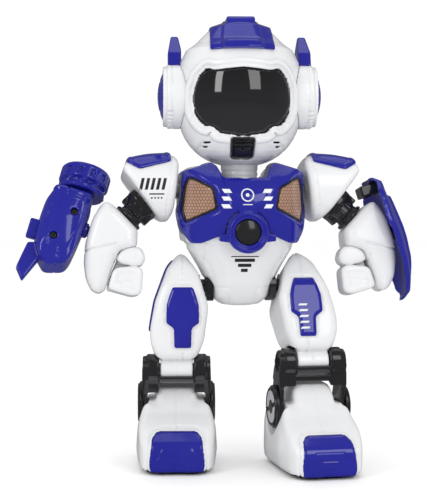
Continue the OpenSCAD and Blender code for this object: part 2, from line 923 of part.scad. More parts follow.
module foot_shell(side) {
    color(white) foot_place(side) difference() {
        intersection() {
            foot_form(0);
            slab([-40, -80, 1.2], [40, 50, 70]);
        }
        ankle_recess(0);
        difference() {
            foot_form(-wall);
            ankle_recess(wall);
        }
        slab([-25, -54, 0], [25, 30, 3.4]);
        translate([0, 0, ankle_z]) bar_x(ankle_pin_r + fit, -30, 30);
        difference() {
            slab([-0.3, -80, 30], [0.3, 50, 70]);
            foot_form(-0.7);
        }
    }
}

module toe_cap(side) {
    color(blue) foot_place(side) intersection() {
        difference() {
            foot_form(trim - 0.6);
            foot_form(0);
        }
        front_cut(toe_outline, -70, -34);
    }
}

module sole_plate(side) {
    color(black) foot_place(side) {
        difference() {
            translate([0, 0, 1.2]) linear_extrude(2) intersection() {
                offset(delta = -wall - 2.8) polygon(foot_plan);
                translate([-24.8, -53.8]) square([49.6, 83.6]);
            }
            slab([-6, wheel_y - 10, 0], [6, wheel_y + 10, 4]);
        }
        for (y = [-52, 23]) slab([-14, y, 0], [14, y + 6, 1.3]);
    }
}

module foot_gearbox(side) {
    color(grey) foot_place(side) difference() {
        union() {
            slab([-12, -32, 3.2], [12, -2, 24]);
            translate([0, -17, 29]) bar_x(7, -12, 12);
            for (end = [0, 1]) mirror([end, 0, 0]) slab([6.5, -2.1, 3.2], [9, 20, 18]);
        }
        translate([0, wheel_y, wheel_r]) bar_x(1.5 + fit, -20, 20);
    }
}

module drive_wheel(side) {
    color(black) foot_place(side) translate([0, wheel_y, wheel_r]) difference() {
        union() {
            bar_x(wheel_r, -4, 4);
            bar_x(1.5, -11, 11);
        }
        for (end = [0, 1]) mirror([end, 0, 0]) difference() {
            bar_x(wheel_r - 2, 3, 5);
            bar_x(3, 2, 6);
        }
    }
}

seat() torso_front_shell();
seat() torso_rear_shell();
seat() chest_plate();
seat() chest_windows();
seat() button_bezel();
seat() battery_pack();
seat() battery_door();
seat() main_board();
seat() speaker();
seat() rear_screws();
seat() hip_brackets();
seat() shoulder_shafts();
seat() charging_socket();
seat() chest_button();
seat() power_switch();
seat() helmet_front();
seat() helmet_rear();
seat() visor();
seat() crown_panel();
seat() mouth_grille();
seat() ear_cups();
seat() ear_discs();
seat() antennas();
seat() eye_board();
seat() neck();
seat() shoulder_shell(1);  // shoulder_shell_left
seat() shoulder_shell(-1);  // shoulder_shell_right
seat() shoulder_cap(1);  // shoulder_cap_left
seat() shoulder_cap(-1);  // shoulder_cap_right
seat() upper_arm(1);  // upper_arm_left
seat() upper_arm(-1);  // upper_arm_right
seat() forearm_shell(1);  // forearm_shell_left
seat() forearm_shell(-1);  // forearm_shell_right
seat() hand(1);  // hand_left
seat() hand(-1);  // hand_right
seat() cannon_body();
seat() cannon_muzzle();
seat() cannon_trigger();
seat() shield_plate();
seat() shield_bracket();
seat() thigh_shell(1);  // thigh_shell_left
seat() thigh_shell(-1);  // thigh_shell_right
seat() thigh_panels(1);  // thigh_panels_left
seat() thigh_panels(-1);  // thigh_panels_right
seat() knee_pin(1);  // knee_pin_left
seat() knee_pin(-1);  // knee_pin_right
seat() shin(1);  // shin_left
seat() shin(-1);  // shin_right
seat() foot_shell(1);  // foot_shell_left
seat() foot_shell(-1);  // foot_shell_right
seat() toe_cap(1);  // toe_cap_left
seat() toe_cap(-1);  // toe_cap_right
seat() ankle_discs(1);  // ankle_discs_left
seat() ankle_discs(-1);  // ankle_discs_right
seat() sole_plate(1);  // sole_plate_left
seat() sole_plate(-1);  // sole_plate_right
seat() foot_gearbox(1);  // foot_gearbox_left
seat() foot_gearbox(-1);  // foot_gearbox_right
seat() drive_wheel(1);  // drive_wheel_left
seat() drive_wheel(-1);  // drive_wheel_right
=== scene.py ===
import json
import math

import bpy
import numpy as np
from mathutils import Matrix, Vector

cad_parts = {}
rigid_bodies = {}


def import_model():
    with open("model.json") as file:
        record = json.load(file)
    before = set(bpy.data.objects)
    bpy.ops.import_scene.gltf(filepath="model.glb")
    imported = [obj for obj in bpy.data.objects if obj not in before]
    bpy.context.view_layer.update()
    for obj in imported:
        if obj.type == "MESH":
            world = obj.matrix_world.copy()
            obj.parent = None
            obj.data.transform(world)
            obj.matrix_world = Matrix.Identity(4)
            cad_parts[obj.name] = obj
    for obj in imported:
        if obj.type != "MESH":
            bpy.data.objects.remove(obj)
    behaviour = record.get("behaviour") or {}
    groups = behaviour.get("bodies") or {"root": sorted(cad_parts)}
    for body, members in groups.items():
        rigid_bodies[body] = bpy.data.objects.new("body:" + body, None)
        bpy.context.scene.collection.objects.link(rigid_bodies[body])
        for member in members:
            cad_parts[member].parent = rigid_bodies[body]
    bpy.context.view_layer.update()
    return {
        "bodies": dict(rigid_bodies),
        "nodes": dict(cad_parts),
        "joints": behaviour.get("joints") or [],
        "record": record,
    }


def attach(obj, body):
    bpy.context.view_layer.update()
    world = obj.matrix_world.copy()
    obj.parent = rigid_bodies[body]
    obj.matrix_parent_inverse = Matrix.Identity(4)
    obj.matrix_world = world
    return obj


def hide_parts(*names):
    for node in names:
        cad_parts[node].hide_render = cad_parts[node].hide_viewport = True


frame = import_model()
mm = 0.001
joints = {j["name"]: j for j in frame["record"]["behaviour"]["joints"]}


studio = {
    "lens": 98.5,          # mm, on a 36 mm sensor
    "distance": 1.04,      # camera to the aim point
    "azimuth": -7.0,
    "elevation": 2.1,
    "aim": (-0.020, 0.0, 0.162),   # from the robot's own middle line
    "floorTone": (0.96, 0.96, 0.96),
    "floorShade": (0.14, 0.14, 0.145),
    "worldTone": (1.0, 1.0, 1.0),
    "worldPower": 1.04,
    "glossPower": 0.16,
}


def jointPos(name):
    return Vector(joints[name]["pos_m"])


def jointAxis(name):
    return Vector(joints[name]["axis"]).normalized()


middle = jointPos("head_turn").to_2d().to_3d()   # the robot's middle line, on the floor


def makeCamera():
    aim = middle + Vector(studio["aim"])
    a, e = math.radians(studio["azimuth"]), math.radians(studio["elevation"])
    back = Vector((math.sin(a) * math.cos(e), -math.cos(a) * math.cos(e), math.sin(e)))
    data = bpy.data.cameras.new("shotCamera")
    data.lens = studio["lens"]
    data.sensor_width = 36
    data.clip_start = 0.05
    camera = bpy.data.objects.new("shotCamera", data)
    bpy.context.collection.objects.link(camera)
    camera.location = aim + back * studio["distance"]
    camera.rotation_euler = back.to_track_quat("Z", "Y").to_euler()
    bpy.context.scene.camera = camera
    bpy.context.scene.view_settings.view_transform = "Standard"


def softBox(name, place, target, size, power, tone=(1, 1, 1)):
    data = bpy.data.lights.new(name, "AREA")
    data.shape = "RECTANGLE"
    data.size, data.size_y = size
    data.energy = power
    data.color = tone
    lamp = bpy.data.objects.new(name, data)
    bpy.context.collection.objects.link(lamp)
    lamp.location = place
    lamp.rotation_euler = (Vector(place) - Vector(target)).to_track_quat("Z", "Y").to_euler()
    return lamp


def makeLights():
    chest = (middle.x, middle.y, 0.2)
    softBox("keyBox", (-1.05, -0.95, 0.8), chest, (0.34, 0.8), 3.4)
    softBox("fillBox", (0.5, -1.15, 0.85), chest, (0.5, 0.8), 2.8)
    softBox("topBox", (0.0, 0.3, 1.5), chest, (0.9, 0.8), 1.4)
    world = bpy.data.worlds.new("paleRoom")
    world.use_nodes = True
    tree = world.node_tree
    sky = tree.nodes["Background"]
    sky.inputs["Color"].default_value = (*studio["worldTone"], 1)
    # gloss sees a dimmer room than the lens and the matt surfaces do
    rays = tree.nodes.new("ShaderNodeLightPath")
    power = Value(tree, rays.outputs["Is Glossy Ray"]) * (studio["glossPower"] - studio["worldPower"])
    tree.links.new((power + studio["worldPower"]).socket, sky.inputs["Strength"])
    bpy.context.scene.world = world


def makeFloor():
    mesh = bpy.data.meshes.new("floor")
    s = 6.0
    mesh.from_pydata([(-s, -s, 0), (s, -s, 0), (s, s, 0), (-s, s, 0)], [], [(0, 1, 2, 3)])
    floor = bpy.data.objects.new("floor", mesh)
    bpy.context.collection.objects.link(floor)
    floor.location.z = -0.0002
    floor.data.materials.append(paperFloor())


class Value:
    # wraps one output socket, so that maths on it adds Math nodes

    def __init__(self, tree, socket):
        self.tree, self.socket = tree, socket

    def op(self, kind, *others, clamp=False):
        node = self.tree.nodes.new("ShaderNodeMath")
        node.operation = kind
        node.use_clamp = clamp
        for slot, item in zip(node.inputs, (self, *others)):
            if isinstance(item, Value):
                self.tree.links.new(item.socket, slot)
            else:
                slot.default_value = item
        return Value(self.tree, node.outputs[0])

    def __add__(self, other):
        return self.op("ADD", other)

    __radd__ = __add__

    def __mul__(self, other):
        return self.op("MULTIPLY", other)

    __rmul__ = __mul__

    def __sub__(self, other):
        return self.op("SUBTRACT", other)

    def __rsub__(self, other):
        return (self * -1) + other

    def __truediv__(self, other):
        return self.op("DIVIDE", other)

    def clamp(self):
        return self.op("ADD", 0.0, clamp=True)


class Recipe:
    # one node material; node() makes any node from its type, settings and inputs

    def __init__(self, name):
        self.mat = bpy.data.materials.new(name)
        self.mat.use_nodes = True
        self.tree = self.mat.node_tree
        self.shader = self.tree.nodes["Principled BSDF"]

    def node(self, kind, settings=None, inputs=None, out=0):
        made = self.tree.nodes.new("ShaderNode" + kind)
        for key, item in (settings or {}).items():
            if key == "stops":
                ramp = made.color_ramp
                while len(ramp.elements) < len(item):
                    ramp.elements.new(0.5)
                for element, (at, tone) in zip(ramp.elements, item):
                    element.position = at
                    element.color = (*tone, 1)
            else:
                setattr(made, key, item)
        for key, item in (inputs or {}).items():
            self.plug(made.inputs[key], item)
        return Value(self.tree, made.outputs[out])

    def plug(self, slot, item):
        if isinstance(item, Value):
            self.tree.links.new(item.socket, slot)
        elif isinstance(item, tuple) and len(item) == 3 and slot.type == "RGBA":
            slot.default_value = (*item, 1)
        else:
            slot.default_value = item

    def set(self, **inputs):
        for key, item in inputs.items():
            words = "".join(" " + c if c.isupper() else c for c in key).strip().title()
            self.plug(self.shader.inputs[words.replace("Ior", "IOR")], item)
        return self

    def place(self):
        return self.node("TexCoord", out=3)      # object coordinates

    def noise(self, scale, detail=3.0, roughness=0.5):
        return self.node("TexNoise", None, {"Vector": self.place(), "Scale": scale,
                                            "Detail": detail, "Roughness": roughness})

    def tint(self, factor, dark, light):
        return self.node("Mix", {"data_type": "RGBA"}, {0: factor, 6: dark, 7: light}, out=2)

    def bump(self, height, strength, depth):
        return self.node("Bump", None, {"Strength": strength, "Distance": depth, "Height": height})


def paperFloor():
    look = Recipe("floorPaper")
    tone = studio["floorTone"]
    grain = look.noise(3.0, 2.0)
    pale = look.tint(grain, tuple(c * 0.99 for c in tone), tone)
    # kept darker in reflections, as the room is
    look.set(baseColor=look.tint(look.node("LightPath", out=3), pale, studio["floorShade"]),
                 roughness=0.9 + grain * 0.1, specularIorLevel=0.0)
    return look.mat


def moulded(name, dark, light, rough, coat=0.0, grain=260.0, depth=0.00004, level=0.5):
    # glossy injection moulding: faint flow marks, fine orange peel and handling haze
    look = Recipe(name)
    flow = look.noise(14.0, 3.0, 0.55)
    haze = look.noise(55.0, 4.0, 0.6)
    peel = look.noise(grain, 2.0, 0.4)
    look.set(baseColor=look.tint(flow, dark, light),
             roughness=(rough - 0.04 + haze * 0.09).clamp(),
             coatWeight=coat, coatRoughness=0.04, specularIorLevel=level,
             normal=look.bump(peel, 0.35, depth))
    return look.mat


def whiteGloss():
    return moulded("whiteGloss", (0.72, 0.725, 0.74), (0.77, 0.773, 0.785), 0.22, 0.3)


def blueGloss():
    return moulded("blueGloss", (0.010, 0.011, 0.235), (0.017, 0.018, 0.29), 0.13, 0.5, 220.0)


def blackGloss():
    return moulded("blackGloss", (0.009, 0.009, 0.010), (0.015, 0.015, 0.017), 0.17, 0.4, 240.0)


def greySatin():
    return moulded("greySatin", (0.34, 0.35, 0.36), (0.42, 0.43, 0.44), 0.4, 0.0)


def paleInlay():
    return moulded("paleInlay", (0.44, 0.45, 0.47), (0.52, 0.53, 0.55), 0.3, 0.2)


def wheelRubber():
    return moulded("wheelRubber", (0.014, 0.014, 0.014), (0.03, 0.03, 0.03), 0.75, 0.0, 900.0, 0.0001)


def whiteInk():
    return moulded("whiteInk", (0.72, 0.73, 0.76), (0.82, 0.83, 0.85), 0.42)


def blackInk():
    return moulded("blackInk", (0.012, 0.012, 0.013), (0.022, 0.022, 0.024), 0.4)


def smokedLens():
    # polished dark visor, painted a touch lighter towards its lower edge as a painted reflection of the
    # bright floor
    look = Recipe("smokedLens")
    height = look.node("SeparateXYZ", None, {"Vector": look.place()}, out=2)
    swirl = look.noise(9.0, 2.0)
    # painted reflection: the colour lightens below head height, standing in for the floor seen in the lens
    paintedFloorReflection = ((0.285 - height) * 14.0 + swirl * 0.3).clamp()
    look.set(baseColor=look.tint(paintedFloorReflection, (0.004, 0.004, 0.005), (0.022, 0.022, 0.026)),
             roughness=0.05 + swirl * 0.03, coatWeight=1.0, coatRoughness=0.02, ior=1.52,
             normal=look.bump(look.noise(70.0, 1.0), 0.1, 0.00003))
    return look.mat


def honeycombLens(cell=0.0027):
    # clear pane over a warm reflector moulded with small hexagons
    look = Recipe("honeycombLens")
    place = look.place()
    across = look.node("SeparateXYZ", None, {"Vector": place}, out=0)
    depth = look.node("SeparateXYZ", None, {"Vector": place}, out=1)
    up = look.node("SeparateXYZ", None, {"Vector": place}, out=2)
    # the panes slant backwards, so depth adds to the distance along them
    u = (across.op("ABSOLUTE") * 0.72 + depth * 0.69) / cell
    v = up / cell
    root3 = 1.7320508

    def hexFrom(shiftU, shiftV):
        a = ((u - shiftU).op("FLOORED_MODULO", 1.0) - 0.5).op("ABSOLUTE")
        b = ((v - shiftV).op("FLOORED_MODULO", root3) - root3 / 2).op("ABSOLUTE")
        return a.op("MAXIMUM", a * 0.5 + b * 0.866)

    far = hexFrom(0.0, 0.0).op("MINIMUM", hexFrom(0.5, root3 / 2))
    wallMask = look.node("MapRange", {"interpolation_type": "SMOOTHSTEP"},
                         {"Value": far, "From Min": 0.33, "From Max": 0.47})
    cup = look.tint(look.noise(60.0, 2.0), (0.33, 0.185, 0.125), (0.47, 0.29, 0.205))
    look.set(baseColor=look.tint(wallMask, cup, (0.17, 0.080, 0.050)),
             roughness=0.16 + wallMask * 0.1, coatWeight=1.0, coatRoughness=0.03,
             normal=look.bump(wallMask, 0.35, 0.0003))
    return look.mat


def platedSteel():
    look = Recipe("platedSteel")
    brush = look.noise(400.0, 3.0)
    look.set(baseColor=look.tint(brush, (0.50, 0.51, 0.53), (0.66, 0.67, 0.69)),
             metallic=1.0, roughness=0.28 + brush * 0.15)
    return look.mat


def cellSleeve():
    look = Recipe("cellSleeve")
    up = look.node("SeparateXYZ", None, {"Vector": look.place()}, out=2)
    band = (up * 1000.0 - 186.0).clamp()
    look.set(baseColor=look.tint(band, (0.02, 0.17, 0.07), (0.55, 0.42, 0.1)),
             roughness=0.3 + look.noise(80.0) * 0.1)
    return look.mat


def solderMask():
    look = Recipe("solderMask")
    traces = look.node("TexVoronoi", {"feature": "DISTANCE_TO_EDGE"},
                       {"Vector": look.place(), "Scale": 260.0})
    lines = look.node("MapRange", None, {"Value": traces, "From Min": 0.03, "From Max": 0.06})
    look.set(baseColor=look.tint(lines, (0.05, 0.28, 0.10), (0.012, 0.12, 0.045)),
             roughness=0.35 + lines * 0.1)
    return look.mat


finishes = {f.__name__: f() for f in (whiteGloss, blueGloss, blackGloss, greySatin, paleInlay,
                                      wheelRubber, whiteInk, blackInk, smokedLens, honeycombLens,
                                      platedSteel, cellSleeve, solderMask)}
slotOf = {"whiteGloss": "white_plastic", "blueGloss": "blue_plastic", "blackGloss": "black_plastic",
          "greySatin": "grey_plastic", "paleInlay": "grey_plastic", "wheelRubber": "wheel_rubber",
          "whiteInk": "white_plastic", "blackInk": "black_plastic", "smokedLens": "visor_lens",
          "honeycombLens": "window_lens", "platedSteel": "steel", "cellSleeve": "cell",
          "solderMask": "circuit_board"}
print("finishes ready")


# A shape is a function of x, y, z in millimetres that is negative inside it. skinned()
# lays a quad skin over it, so that every edge and blend comes out rounded as moulded.

def outline(points, a, b):
    # signed distance to a closed outline, negative inside
    nearest, inside = None, False
    for (ax, az), (bx, bz) in zip(points, points[1:] + points[:1]):
        ex, ez = bx - ax, bz - az
        along = np.clip(((a - ax) * ex + (b - az) * ez) / (ex * ex + ez * ez), 0, 1)
        gap = (a - ax - ex * along) ** 2 + (b - az - ez * along) ** 2
        nearest = gap if nearest is None else np.minimum(nearest, gap)
        if az != bz:
            inside = inside ^ (((az > b) != (bz > b)) & (a < ex * (b - az) / ez + ax))
    return np.sqrt(nearest) * np.where(inside, -1.0, 1.0)


def softened(points, radius, steps=4):
    # the same outline with each corner turned into a short curve
    done = []
    for i, here in enumerate(points):
        here = np.array(here, float)
        before, after = (np.array(points[i - 1], float), np.array(points[(i + 1) % len(points)], float))
        cut = [min(radius, 0.45 * np.linalg.norm(p - here)) for p in (before, after)]
        start = here + (before - here) / np.linalg.norm(before - here) * cut[0]
        end = here + (after - here) / np.linalg.norm(after - here) * cut[1]
        for k in range(steps + 1):
            t = k / steps
            done.append(tuple((1 - t) ** 2 * start + 2 * t * (1 - t) * here + t * t * end))
    return done


def mirrored(points):
    return points + [(-x, z) for x, z in reversed(points) if x > 0]


def both(a, b, blend=1.5):
    # the part inside both shapes, with its edge rounded over about blend
    h = np.maximum(blend - np.abs(a - b), 0.0) / blend
    return np.maximum(a, b) + h * h * blend * 0.25


def either(a, b, blend=1.5):
    return -both(-a, -b, blend)


def without(a, b, blend=1.0):
    return both(a, -b, blend)


def allOf(first, *rest, blend=1.5):
    for other in rest:
        first = both(first, other, blend)
    return first


def box(x, y, z, low, high, blend=1.0):
    sides = [np.maximum(l - c, c - h) for c, l, h in zip((x, y, z), low, high)]
    return allOf(*sides, blend=blend)


def rod(a, b, c, low, high, radius, blend=0.8):
    # round bar: a runs along it, b and c across it
    return both(np.sqrt(b * b + c * c) - radius, np.maximum(low - a, a - high), blend)


def turned(x, y, z, angle, at=(0, 0), plane="xz"):
    # coordinates seen from a frame turned by angle about at
    c, s = math.cos(math.radians(angle)), math.sin(math.radians(angle))
    if plane == "xz":
        dx, dz = x - at[0], z - at[1]
        return c * dx + s * dz, y, c * dz - s * dx
    dy, dz = y - at[0], z - at[1]
    return x, c * dy + s * dz, c * dz - s * dy


cubeEdges = [(a, b) for a in range(8) for b in range(8)
             if a < b and bin(a ^ b).count("1") == 1]
corners = [((i >> 2) & 1, (i >> 1) & 1, i & 1) for i in range(8)]


def skinned(shape, low, high, step):
    # one vertex in each grid cell that the surface crosses, pulled onto the surface
    low = np.array(low, float)
    count = np.ceil((np.array(high, float) - low) / step).astype(int) + 1
    grid = np.meshgrid(*[low[i] + step * np.arange(count[i]) for i in range(3)],
                       indexing="ij", sparse=True)
    field = np.array(np.broadcast_to(shape(*grid), tuple(count)), dtype=np.float64)
    inside = field < 0
    cellCount = count - 1
    total = sum(inside[i:i + cellCount[0], j:j + cellCount[1], k:k + cellCount[2]].astype(np.int8)
                for i, j, k in corners)
    active = (total > 0) & (total < 8)
    cells = np.argwhere(active)
    index = np.full(active.shape, -1)
    index[active] = np.arange(len(cells))
    spots, hits = np.zeros((len(cells), 3)), np.zeros(len(cells))
    values = [field[tuple((cells + np.array(c)).T)] for c in corners]
    for a, b in cubeEdges:
        crossed = (values[a] < 0) != (values[b] < 0)
        t = values[a][crossed] / (values[a][crossed] - values[b][crossed])
        ca, cb = np.array(corners[a], float), np.array(corners[b], float)
        spots[crossed] += ca + t[:, None] * (cb - ca)
        hits[crossed] += 1
    verts = low + step * (cells + spots / hits[:, None])
    for _ in range(3):
        verts = pulledOnto(shape, verts, step)
    faces = []
    for axis in range(3):
        u, v = np.eye(3, dtype=int)[(axis + 1) % 3], np.eye(3, dtype=int)[(axis + 2) % 3]
        first = inside.take(range(0, count[axis] - 1), axis)
        second = inside.take(range(1, count[axis]), axis)
        points = np.argwhere(first != second)
        keep = np.all((points - u - v >= 0) & (points < cellCount), axis=1)
        points = points[keep]
        quads = np.stack([index[tuple((points - p).T)] for p in (0 * u, u, u + v, v)], 1)
        outward = first[tuple(points.T)]
        quads[~outward] = quads[~outward][:, ::-1]
        faces.append(quads)
    return verts, np.concatenate(faces)


def pulledOnto(shape, verts, step):
    x, y, z = verts.T
    tiny = step * 0.05
    value = shape(x, y, z)
    slope = np.stack([(shape(x + tiny, y, z) - shape(x - tiny, y, z)),
                      (shape(x, y + tiny, z) - shape(x, y - tiny, z)),
                      (shape(x, y, z + tiny) - shape(x, y, z - tiny))], 1) / (2 * tiny)
    size = np.maximum((slope ** 2).sum(1), 0.05)
    move = slope * (value / size)[:, None]
    length = np.linalg.norm(move, axis=1, keepdims=True)
    return verts - move * np.minimum(1.0, 0.5 * step / np.maximum(length, 1e-9))


def pieceFrom(name, verts, faces, place, finish, body, replaces=(), smooth=True):
    # verts in millimetres in the piece's own frame; place puts them in the shared frame
    mesh = bpy.data.meshes.new(name)
    spots = np.asarray(verts) * mm
    turn = np.array(place)
    spots = spots @ turn[:3, :3].T + turn[:3, 3]
    quads = [tuple(f) for f in (faces.tolist() if isinstance(faces, np.ndarray) else faces)]
    if place.determinant() < 0:
        quads = [f[::-1] for f in quads]
    mesh.from_pydata(spots.tolist(), [], quads)
    if smooth:
        mesh.polygons.foreach_set("use_smooth", [True] * len(mesh.polygons))
    mesh.materials.append(finishes[finish])
    mesh.update()
    piece = bpy.data.objects.new(name, mesh)
    bpy.context.collection.objects.link(piece)
    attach(piece, body)
    if replaces:
        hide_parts(*replaces)
    return piece


def mould(name, shape, low, high, step, place, finish, body, replaces=()):
    verts, faces = skinned(shape, low, high, step)
    return pieceFrom(name, verts, faces, place, finish, body, replaces)


def spin(angle, axis):
    return Matrix.Rotation(math.radians(angle), 4, axis)


def shift(x, y, z):
    return Matrix.Translation(Vector((x, y, z)) * mm)


def armPlace(side):
    # the left arm's own drawing; side -1 mirrors it to the right
    height = jointPos("shoulder_left").z / mm
    return (Matrix.Translation(middle) @ Matrix.Diagonal((side, 1, 1, 1)) @ shift(0, 0, height)
            @ spin(-8, "X") @ shift(0, 0, -height))


def legPlace(origin, up, side):
    # z up the limb, x outwards along the hinge, mirrored on the right
    x = jointAxis("hip_left" if side > 0 else "hip_right")
    z = up.normalized()
    y = z.cross(x)
    frameOf = Matrix((x * side, y, z)).transposed().to_4x4()
    return Matrix.Translation(origin) @ frameOf


robotPlace = Matrix.Translation(middle)
headPlace = robotPlace @ shift(0, 0, 280) @ spin(-4, "Z")
names = {1: "left", -1: "right"}


head = {
    "wall": 2.2,
    "frameLift": 2.3,     # how far the visor's frame stands out
    "frameWidth": 6.3,
    "crownLift": 2.4,
    "earRadius": 24.3,
    "step": 1.1,
}

helmetSide = [(0, 52), (13, 51), (24, 47), (33.5, 37.5), (40.5, 32.5), (45.2, 23), (46.5, 10),
              (46.5, -6)]
helmetSide += [(6 + 40.5 * math.cos(math.radians(a)), -14 - 40.5 * math.sin(math.radians(a)))
               for a in range(6, 79, 8)] + [(0, -53.6)]
helmetSection = mirrored(helmetSide)
visorEdge = softened(mirrored([(0, 16.8), (20.5, 14.8), (26.5, 16.5), (32.2, 10.4), (35.3, 1),
                               (35.9, -6.6), (34.9, -16.5), (31.5, -22.5), (27.5, -26),
                               (22.3, -25.8), (17, -31.2), (0, -33.5)]), 2.0)
mouthEdge = softened([(-9, -34.6), (9, -34.6), (7.9, -49.4), (-7.9, -49.4)], 2.4)


def helmet(x, y, z):
    return outline(helmetSection, np.sqrt(x * x + y * y), z)


def helmetFront(x, y, z):
    skin = helmet(x, y, z)
    rim = outline(visorEdge, x, z)
    width = head["frameWidth"]
    lift = np.interp(rim, [0, 3.8, width, width + 0.9], [-1.3, 1, 1, 0]) * head["frameLift"]
    lift = np.where(rim < 3.8, np.minimum(lift, head["frameLift"]), lift)
    jaw = np.interp(np.abs(x), [15, 22], [1, 0]) * np.interp(z, [-52, -46, -30], [0, 1.2, 1.2])
    shell = skin - np.maximum(lift, np.where(rim > 0, jaw, -9))
    # the chin is drawn in towards the mouth by two shallow creases
    crease = np.abs(np.abs(x) * 0.8 + z * 0.6 - 0.5) - 0.45
    shell = np.where((z < -30) & (np.abs(x) > 20), without(shell, both(crease, -skin - 0.7), 0.8), shell)
    hollow = without(shell, skin + head["wall"], 0.6)
    hollow = without(hollow, np.maximum(rim, y + 10), 0.6)
    hollow = without(hollow, both(outline(mouthEdge, x, z) - 0.3, y + 20), 0.5)
    for row in range(3):
        vent = box(np.abs(x), y, z, (23 + 2.1 * row, -60, -38.2 - 3.1 * row),
                   (28.2 + 2.1 * row, -20, -36.9 - 3.1 * row), 0.3)
        hollow = without(hollow, vent, 0.5)
    return both(hollow, y - 3.9, 0.5)


def helmetRear(x, y, z):
    skin = helmet(x, y, z)
    seam = np.abs(np.sqrt(x * x + (z + 2) ** 2) - 33) - 0.5
    shell = without(skin, both(seam, -skin - 0.6, 0.4), 0.6)
    hollow = without(shell, skin + head["wall"], 0.6)
    for col in range(-2, 3):
        hollow = without(hollow, box(x, y, z, (6 * col - 0.9, 20, -25), (6 * col + 0.9, 60, -11), 0.6), 0.8)
    return both(hollow, 4.1 - y, 0.5)


def visorLens(x, y, z):
    # one smooth bowl, not the helmet's own facets
    skin = np.sqrt(x * x + y * y) - 45.9 + 0.0075 * (z + 2) ** 2
    lens = both(skin, -skin - 3, 1.0)
    return allOf(lens, outline(visorEdge, x, z) + 0.15, y + 9, blend=0.7)


def crownPanel(x, y, z):
    skin = helmet(x, y, z)
    lift = head["crownLift"]
    side = np.abs(x)
    slab = allOf(skin - lift, side - 24 + 0.05 * (z - 30), 30 - z, y - 40, blend=1.4)
    inner = allOf(skin - lift - 1.0, side - 15.5 + 0.12 * (z - 34), 30.8 - z, y - 34, blend=1.2)
    lip = allOf(skin - lift - 2.7, side - 15.2 + 0.5 * (z - 31), 31 - z, z - 37.5, y, blend=1.0)
    shape = either(either(slab, inner, 0.7), lip, 1.2)
    for row in range(4):
        groove = box(x, y, z, (-30, 14 + 6 * row, 30), (30, 15.6 + 6 * row, 70), 0.3)
        shape = without(shape, both(groove, -skin + lift - 1.3, 0.3), 0.7)
    shape = without(shape, skin + 0.1, 0.4)
    block = outline(softened([(-22.5, 50), (-18, 57), (16.5, 57), (22.5, 50)], 3.0), y, z)
    block = allOf(block, side - 10.6, -skin + 0.2, blend=1.6)
    dip = box(x, y, z, (-7.6, -13, 56.2), (7.6, 12, 60), 0.8)
    return either(shape, without(block, dip, 1.0), 0.8)


def mouthPiece(x, y, z):
    skin = helmet(x, y, z)
    edge = outline(mouthEdge, x, z)
    shape = allOf(skin - 3.1, edge, y + 20, blend=1.2)
    # sunk field with two slats above one plate
    sunk = allOf(edge + 1.5, -skin + 1.7, blend=0.5)
    shape = without(shape, sunk, 0.6)
    slats = [(-37.9, -36.1), (-40.9, -38.9), (-47.9, -42.0)]
    for low, high in slats:
        slat = allOf(np.maximum(low - z, z - high), edge + 1.9, skin - 2.9, -skin - 0.5, y + 20, blend=0.6)
        shape = either(shape, slat, 0.3)
    hole = rod(y, x, z + 42.4, -60, -30, 0.9, 0.4)
    return without(without(shape, skin + 1.0, 0.4), hole, 0.4)


def earCup(x, y, z):
    a = np.abs(x)
    up = z + 2
    radius = head["earRadius"]
    shape = rod(a, y, up, 34, 55.2, radius, 2.2)
    shape = either(shape, rod(a, y, up, 40, 58, radius - 1.7, 1.2), 0.6)
    shape = without(shape, rod(a, y, up, 52.6, 70, 18.5, 0.6), 0.9)
    ring = allOf(np.abs(np.sqrt(y * y + up * up) - 21) - 0.35, a - 70, 57.4 - a, blend=0.2)
    shape = without(shape, ring, 0.5)
    band = allOf(np.abs(a - 51) - 0.35, radius - 0.6 - np.sqrt(y * y + up * up), blend=0.2)
    shape = without(shape, band, 0.5)
    for angle in range(212, 330, 9):
        v, w = ribFrame(y, up, angle)
        rib = box(a, v, w, (50.2, radius - 1.2, -0.8), (54.6, radius + 3, 0.8), 0.3)
        shape = without(shape, rib, 0.7)
    return without(shape, helmet(x, y, z) - 0.2, 0.4)


def ribFrame(y, z, angle):
    c, s = math.cos(math.radians(angle)), math.sin(math.radians(angle))
    return c * y + s * z, c * z - s * y


def earDisc(x, y, z):
    a = np.abs(x)
    radial = np.sqrt(y * y + (z + 2) ** 2)
    dome = a - 62 + radial ** 2 / 80
    shape = allOf(dome, radial - 17.9, 53 - a, blend=1.6)
    groove = np.maximum(np.abs(radial - 11.6) - 0.6, -dome - 0.7)
    return without(shape, groove, 0.7)


def antenna(x, y, z):
    a = np.abs(x)
    side = outline(softened([(-9, 18), (-4, 31), (13, 45), (19, 45), (17, 30), (12, 18)], 1.6), y, z)
    front = outline(softened([(44, 18), (54, 18), (54, 32), (51.4, 46), (46.2, 46), (44, 34)], 1.4), a, z)
    shape = both(side, front, 1.3)
    shape = without(shape, rod(a, y, z + 2, 30, 60, head["earRadius"] - 0.1, 0.3), 0.4)
    return without(shape, helmet(x, y, z) - 0.1, 0.4)


def neckColumn(x, y, z):
    # height measured from the robot's floor, as the torso's is
    radial = np.sqrt(x * x + y * y)
    shape = allOf(radial - 14, 205 - z, z - 229, blend=0.6)
    shape = either(shape, allOf(radial - 17, 205 - z, z - 208, blend=0.6), 0.5)
    shape = either(shape, allOf(radial - 19.6, 228.9 - z, z - 231.2, blend=0.6), 0.5)
    for level in (217.5, 221.5):
        shape = without(shape, both(np.abs(z - level) - 0.4, 13.3 - radial, 0.2), 0.5)
    return without(shape, np.maximum(radial - 11, z - 240), 0.6)


